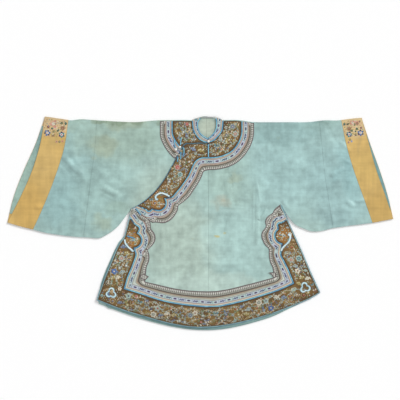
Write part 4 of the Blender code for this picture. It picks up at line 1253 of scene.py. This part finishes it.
# Flowers at the shoulder end of each yellow band: motif, across, up, radius, turn, two colours
BAND_FLOWERS = {
    "left_cuff_band": [
        (peony, -566, 383, 14, 0.2, PEACH, CREAM), (leaf, -559, 382, 5, 1.2, DEEP, LEAF),
        (leaf, -573, 381, 7, -0.9, PINK, ROSE), (leaf, -559, 370, 6, 0.2, PINK, PEACH),
        (leaf, -559, 393, 5, 0.4, RED, PINK), (leaf, -534, 385, 7, 0.2, DEEP, OLIVE),
        (leaf, -518, 384, 7, 1.5, DEEP, TEAL), (cloud, -544, 386, 11, 0.3, SAND, CREAM),
        (peony, -530, 366, 12, 0.1, TAN, RUST), (leaf, -548, 358, 7, 1.2, DEEP, LEAF),
        (leaf, -570, 365, 6, 0.3, DEEP, TEAL), (blossom, -564, 353, 8, 0.3, OLIVE, NAVY),
        (ringed, -589, 348, 13, 0.1, BLUE, PEACH), (leaf, -585, 372, 8, 1.4, RUST, LILAC),
        (ringed, -534, 341, 13, 0.5, TEAL, RED), (butterfly, -566, 338, 9, 0, OLIVE, RUST),
        (blossom, -553, 314, 6, 0, PEACH, LEAF), (leaf, -542, 314, 6, 1.4, LEAF, PINK),
        (blossom, -531, 316, 6, 0.8, PEACH, RED),
    ],
    "right_cuff_band": [
        (leaf, 568, 382, 7, 0.4, DEEP, OLIVE), (leaf, 555, 382, 7, 1.3, DEEP, TEAL),
        (peony, 586, 386, 11, 0.2, PEACH, CREAM), (peony, 604, 384, 9, 0.5, PEACH, RUST),
        (leaf, 581, 385, 6, 0.9, PINK, ROSE), (leaf, 590, 392, 5, 0.1, PINK, PEACH),
        (leaf, 600, 390, 5, 0.4, PINK, ROSE), (leaf, 594, 380, 6, 1.4, LEAF, DEEP),
        (leaf, 613, 392, 5, 1.0, RUST, LILAC), (peony, 573, 364, 11, 0.4, TAN, RUST),
        (leaf, 583, 356, 7, -0.4, DEEP, LEAF), (leaf, 604, 363, 7, -0.5, DEEP, LEAF),
        (leaf, 598, 354, 5, 0, DEEP, LEAF), (ringed, 617, 348, 13, 0.6, BLUE, PEACH),
        (leaf, 619, 368, 6, 1.0, RUST, LILAC), (ringed, 573, 342, 12, 0.2, TEAL, RED),
        (butterfly, 597, 340, 8, 0.2, OLIVE, RUST), (leaf, 571, 312, 6, 1.4, ROSE, SAND),
        (leaf, 582, 316, 6, 1.7, LILAC, SAND), (blossom, 576, 322, 6, 0.4, OLIVE, PEACH),
    ],
}
# Small pale sprigs between them: from how far up, how far apart and their radius
SPRIGS_FROM, SPRIG_STEP, SPRIG = 336 * MM, 9 * MM, 3.6 * MM


def band_flowers(band, loops):
    """The flowers of one yellow band."""
    rng = random.Random(band)
    stitches = Stitches()
    spots = lattice(loops, SPRIG_STEP)
    spots = spots[inside(spots, loops) & (spots.imag > SPRIGS_FROM)]
    for place in spots[rim_distance(spots, loops) > 1.5 * SPRIG]:
        colour = rng.choice(SPRIG_SILKS)
        work(stitches, leaf(colour, SAND), place, SPRIG, rng.uniform(0, math.pi))
    for make, across, up, radius, turn, outer, inner in BAND_FLOWERS[band]:
        work(stitches, make(outer, inner), complex(across, up) * MM, radius * MM, turn)
    return stitches.piece(f"flowers_on_{band}", "left", FRONT_LOW + WALL)


# How far apart the points along a rim are, at most
EDGE_STEP = 5 * MM
# Spacing of the points in the upper cloth and in the back
FINE, COARSE = 6 * MM, 16 * MM
# How near the fold its rim points lie, and how near each other the two of a pair
NEAR_FOLD, NEAR_PAIR = 1.5 * MM, 0.8 * MM
# Angles of the points round the bend of a fold
BEND = np.radians((30, 60, 90, 120, 150))
# Share of its thickness that a piping keeps at its rim
DOME_FOOT = 0.3
# Lace: its rim beyond this from the piping is the outer edge, and where its inner edge lies
LACE_OUTER, LACE_START = 28 * MM, 25.9 * MM
# Its narrowest width, how far in the tan selvedge starts there, and the share of any more width before it
LACE_NARROW, LACE_BAND, LACE_SPREAD = 20.5 * MM, 16.3 * MM, 0.45
# How far from the piping the ribbon's figures run, and how far at the hem
FIGURE_MIDDLE = 14.6 * MM
FIGURE_LINE = {"hem": 17.2 * MM}
# Collar: its thickness, and how far a corner of its outline turns
COLLAR_WALL = 1.5 * MM
COLLAR_CORNER = math.radians(15)
# Pipings: half their width where they are domed, and the spacing of the points in them
PIPING_HALF, CORD_SPACING = 2.3 * MM, 1.3 * MM
SHOULDER_FOLD = smooth(SHOULDER, 60 * MM)
BACK_CREASES = [
    (-520, 250, -430, 180, 14, 0.7), (-380, 160, -290, 110, 16, 0.8), (500, 190, 560, 110, 14, 0.7),
    (-160, 150, -150, -130, 12, 0.6), (200, 160, 206, -110, 12, 0.6), (60, 60, 20, -180, 14, 0.5),
]

# Folded lengths: solid, finish, ground
FOLDED = [
    ("left_body", "silk", "left"), ("right_body", "silk", "right"), ("left_sleeve_end", "silk", "left"),
    ("right_sleeve_end", "silk", "left"), ("left_cuff_band", "cuff_silk", "left"),
    ("right_cuff_band", "cuff_silk", "left"),
]
# What lies on them: solid, finish, ground, route that its pattern follows, what it rests on
TRIMS = [
    ("neck_border_left", "embroidery", "left", "neck_left", "left_body"),
    ("neck_border_right", "embroidery", "right", "front", "right_body"),
    ("overlap_border", "embroidery", "right", "front", "front_overlap"),
    ("hem_border", "embroidery", "right", "hem", "front_overlap"),
    ("neck_left_ribbon", "figured_ribbon", "left", "neck_left", "left_body"),
    ("front_ribbon", "figured_ribbon", "right", "front", "right_body"),
    ("hem_ribbon", "figured_ribbon", "right", "hem", "front_overlap"),
    ("neck_left_lace", "lace", "left", "neck_left", "left_body"),
    ("front_lace", "lace", "right", "front", "right_body"),
    ("hem_lace", "lace", "right", "hem", "front_overlap"),
]
LININGS = ["neck_lining", "slit_lining", "hem_lining", "left_cuff_lining", "right_cuff_lining"]
# Pipings along a route: solid, ground, route
PIPINGS = [
    ("neck_left_piping", "left", "neck_left"), ("front_piping", "right", "front"),
    ("hem_piping", "right", "hem"),
]
# Pipings of the collar: solid, ground
COLLAR_PIPINGS = [
    ("collar_piping_left", "left"), ("collar_piping_right", "neck"), ("collar_top_piping_left", "left"),
    ("collar_top_piping_right", "neck"),
]
# Short raised pieces: solids, finish, ground, height of the foot, thickness, half width
RAISED = [
    (["centre_piping"], "piping", "right", ON_BORDER, 1.2, 2.3),
    (["overlap_piping"], "piping", "right", ON_FRONT, 1.1, 1.1),
    (["overlap_curl", "left_curl", "right_curl"], "pale_ribbon", "right", ON_PIPING, 1.2, 3.5),
    (["left_trefoil", "right_trefoil"], "pale_ribbon", "right", ON_BORDER, 1.3, 3.5),
    (["corner_button_strip_1", "corner_button_strip_2"], "piping", "left", ON_PIPING, 1.6, 2.2),
    (["corner_loop_strip_1", "corner_loop_strip_2", "corner_loop_strip_3", "underarm_strip", "side_strip"],
     "piping", "right", ON_PIPING, 1.6, 2.2),
]
# Ball buttons: solid, ground, across, up, and the radius of all
BALLS = [
    ("neck_button", "right", 31.5, 314.4), ("corner_button_1", "left", -78.5, 293),
    ("corner_button_2", "left", -94, 283),
]
BALL = 5 * MM
# Folded corners of the hem lace that stand past it, and its end at the left underarm
LACE_EARS = {
    "lace_end_left": [
        (-265.5, 56), (-254, 55), (-252.5, 43), (-254.5, 35), (-262, 31.5), (-270, 26), (-271.5, 38),
    ],
    "lace_ear_left": [(-218, -194), (-198, -205.5), (-211, -218.5), (-228, -214.5), (-232, -200)],
    "lace_ear_right": [
        (261, -190), (273, -197.5), (283.5, -211), (293.5, -207), (291, -190), (283.5, -188.5),
    ],
}
# Their thickness, and how far in from the lace's outer edge the end at the underarm lies
LACE_EAR, LACE_END_IN = 0.7 * MM, 6 * MM
# Teal cord along the outer edge of the front: its radius, how far outside the edge it lies and how high
EDGE_RADIUS, EDGE_OUT, EDGE_HEIGHT = 0.9 * MM, 1.15 * MM, 4.3 * MM

floor_name = "pale_floor"
for node, finish, ground in FOLDED:
    folded(node, finish, ground, [floor_name])
flat("front_overlap", "silk", "right", FRONT_LOW + WALL - CLOTH, CLOTH, FINE, [sewn("left_body")])
for node, finish, ground, route, under in TRIMS:
    flat(node, finish, ground, ON_FRONT, TRIM, 4 * MM, [sewn(under)], route)
for node in LININGS:
    flat(node, "lining", "back", FRONT_LOW, TRIM, FINE, [sewn("left_body")])
flat("collar", "figured_ribbon", "neck", ON_FRONT, COLLAR_WALL, 3 * MM, [sewn("left_body")], "collar",
     corner=COLLAR_CORNER)
for node, ground, route in PIPINGS:
    dots = route_dots(route, (-CORD_SPACING, 0, CORD_SPACING))
    flat(node, "piping", ground, ON_FRONT, PIPING, 2.4 * MM, dots=dots, domed=PIPING_HALF, cut=False)
for node, ground in COLLAR_PIPINGS:
    flat(node, "piping", ground, ON_FRONT, PIPING, CORD_SPACING, domed=PIPING_HALF, cut=False)
for nodes, finish, ground, base, thick, half in RAISED:
    for node in nodes:
        flat(node, finish, ground, base, thick * MM, CORD_SPACING, domed=half * MM, cut=False)
for node, ground, across, up in BALLS:
    mesh = bpy.data.meshes.new(node)
    ball = bmesh.new()
    bmesh.ops.create_icosphere(ball, subdivisions=4, radius=BALL)
    ball.to_mesh(mesh)
    mesh.shade_smooth()
    button = placed(sewn(node), mesh, "button")
    spot = np.array([complex(across, up) * MM])
    button.location = (across * MM, up * MM, float(ON_PIPING + BALL + GROUNDS[ground](spot)[0]))
    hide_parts(node)

for name, outline in LACE_EARS.items():
    loop = plan(outline)
    spots, triangles = filled([loop], 3 * MM)
    foot = ON_BORDER + GROUNDS["right"](spots)
    walls = Walls()
    rim = rim_distance(spots, [loop])
    facts = {"edge": rim + (LACE_END_IN if name == "lace_end_left" else 0), "along": spots.real, "rim": rim}
    walls.wall(spots, triangles, foot + LACE_EAR, foot, facts)
    ear = walls.piece(name, "lace")
    declare_cut(ear, *extent(spots), area_of(spots, triangles), [sewn("hem_lace")])

edge_line = np.concatenate([smooth(SIDE_LEFT, 6 * MM), smooth(HEM_FRONT, 6 * MM)[1:],
                            smooth(SIDE_RIGHT, 6 * MM)[1:]])
edge_line = edge_line - left_of(edge_line) * EDGE_OUT
tube("edge_cord", "teal_piping", edge_line, EDGE_HEIGHT + GROUNDS["right"](edge_line), EDGE_RADIUS)

# Camera straight above, as the photograph was taken, in metres, and its lens in millimetres
CAMERA_PLACE, LENS, SENSOR = (-1.2 * MM, 89.5 * MM, 4.0), 93.4, 36
# Floor: how far it reaches from the middle, and how far under the coat it lies
FLOOR_REACH, FLOOR_DROP = 20, 0.5 * MM
# Soft light from the upper right, and a weaker one against it: place, spread in degrees, power
LAMPS = [("key", (1.5, 1.5, 1.2), 22, 2.4), ("fill", (-1.5, -1.2, 2.4), 60, 0.4)]
WORLD_LIGHT = 0.52

camera = shown("camera", bpy.data.cameras.new("camera"))
camera.location = CAMERA_PLACE
camera.data.lens = LENS
camera.data.sensor_width = SENSOR
bpy.context.scene.camera = camera

corners = [(x * FLOOR_REACH, y * FLOOR_REACH, 0) for x, y in ((-1, -1), (1, -1), (1, 1), (-1, 1))]
floor_mesh = bpy.data.meshes.new(floor_name)
floor_mesh.from_pydata(corners, [], [(0, 1, 2, 3)])
paper = Finish(floor_name, Roughness=0.9)
floor_mesh.materials.append(paper.done(paper.mix(paper.noise(3.0) * 0.02, (255, 255, 255), (251, 251, 251))))
floor = shown(floor_name, floor_mesh)
floor.location.z = -FLOOR_DROP

world = bpy.data.worlds.new("studio")
world.use_nodes = True
background = world.node_tree.nodes["Background"]
background.inputs["Color"].default_value = (1, 1, 1, 1)
background.inputs["Strength"].default_value = WORLD_LIGHT
bpy.context.scene.world = world
for name, place, spread, power in LAMPS:
    lamp = shown(name, bpy.data.lights.new(name, "SUN"))
    lamp.data.angle = math.radians(spread)
    lamp.data.energy = power
    lamp.location = place
    lamp.rotation_euler = (-Vector(place)).to_track_quat("-Z", "Y").to_euler()
bpy.context.scene.view_settings.view_transform = "Standard"
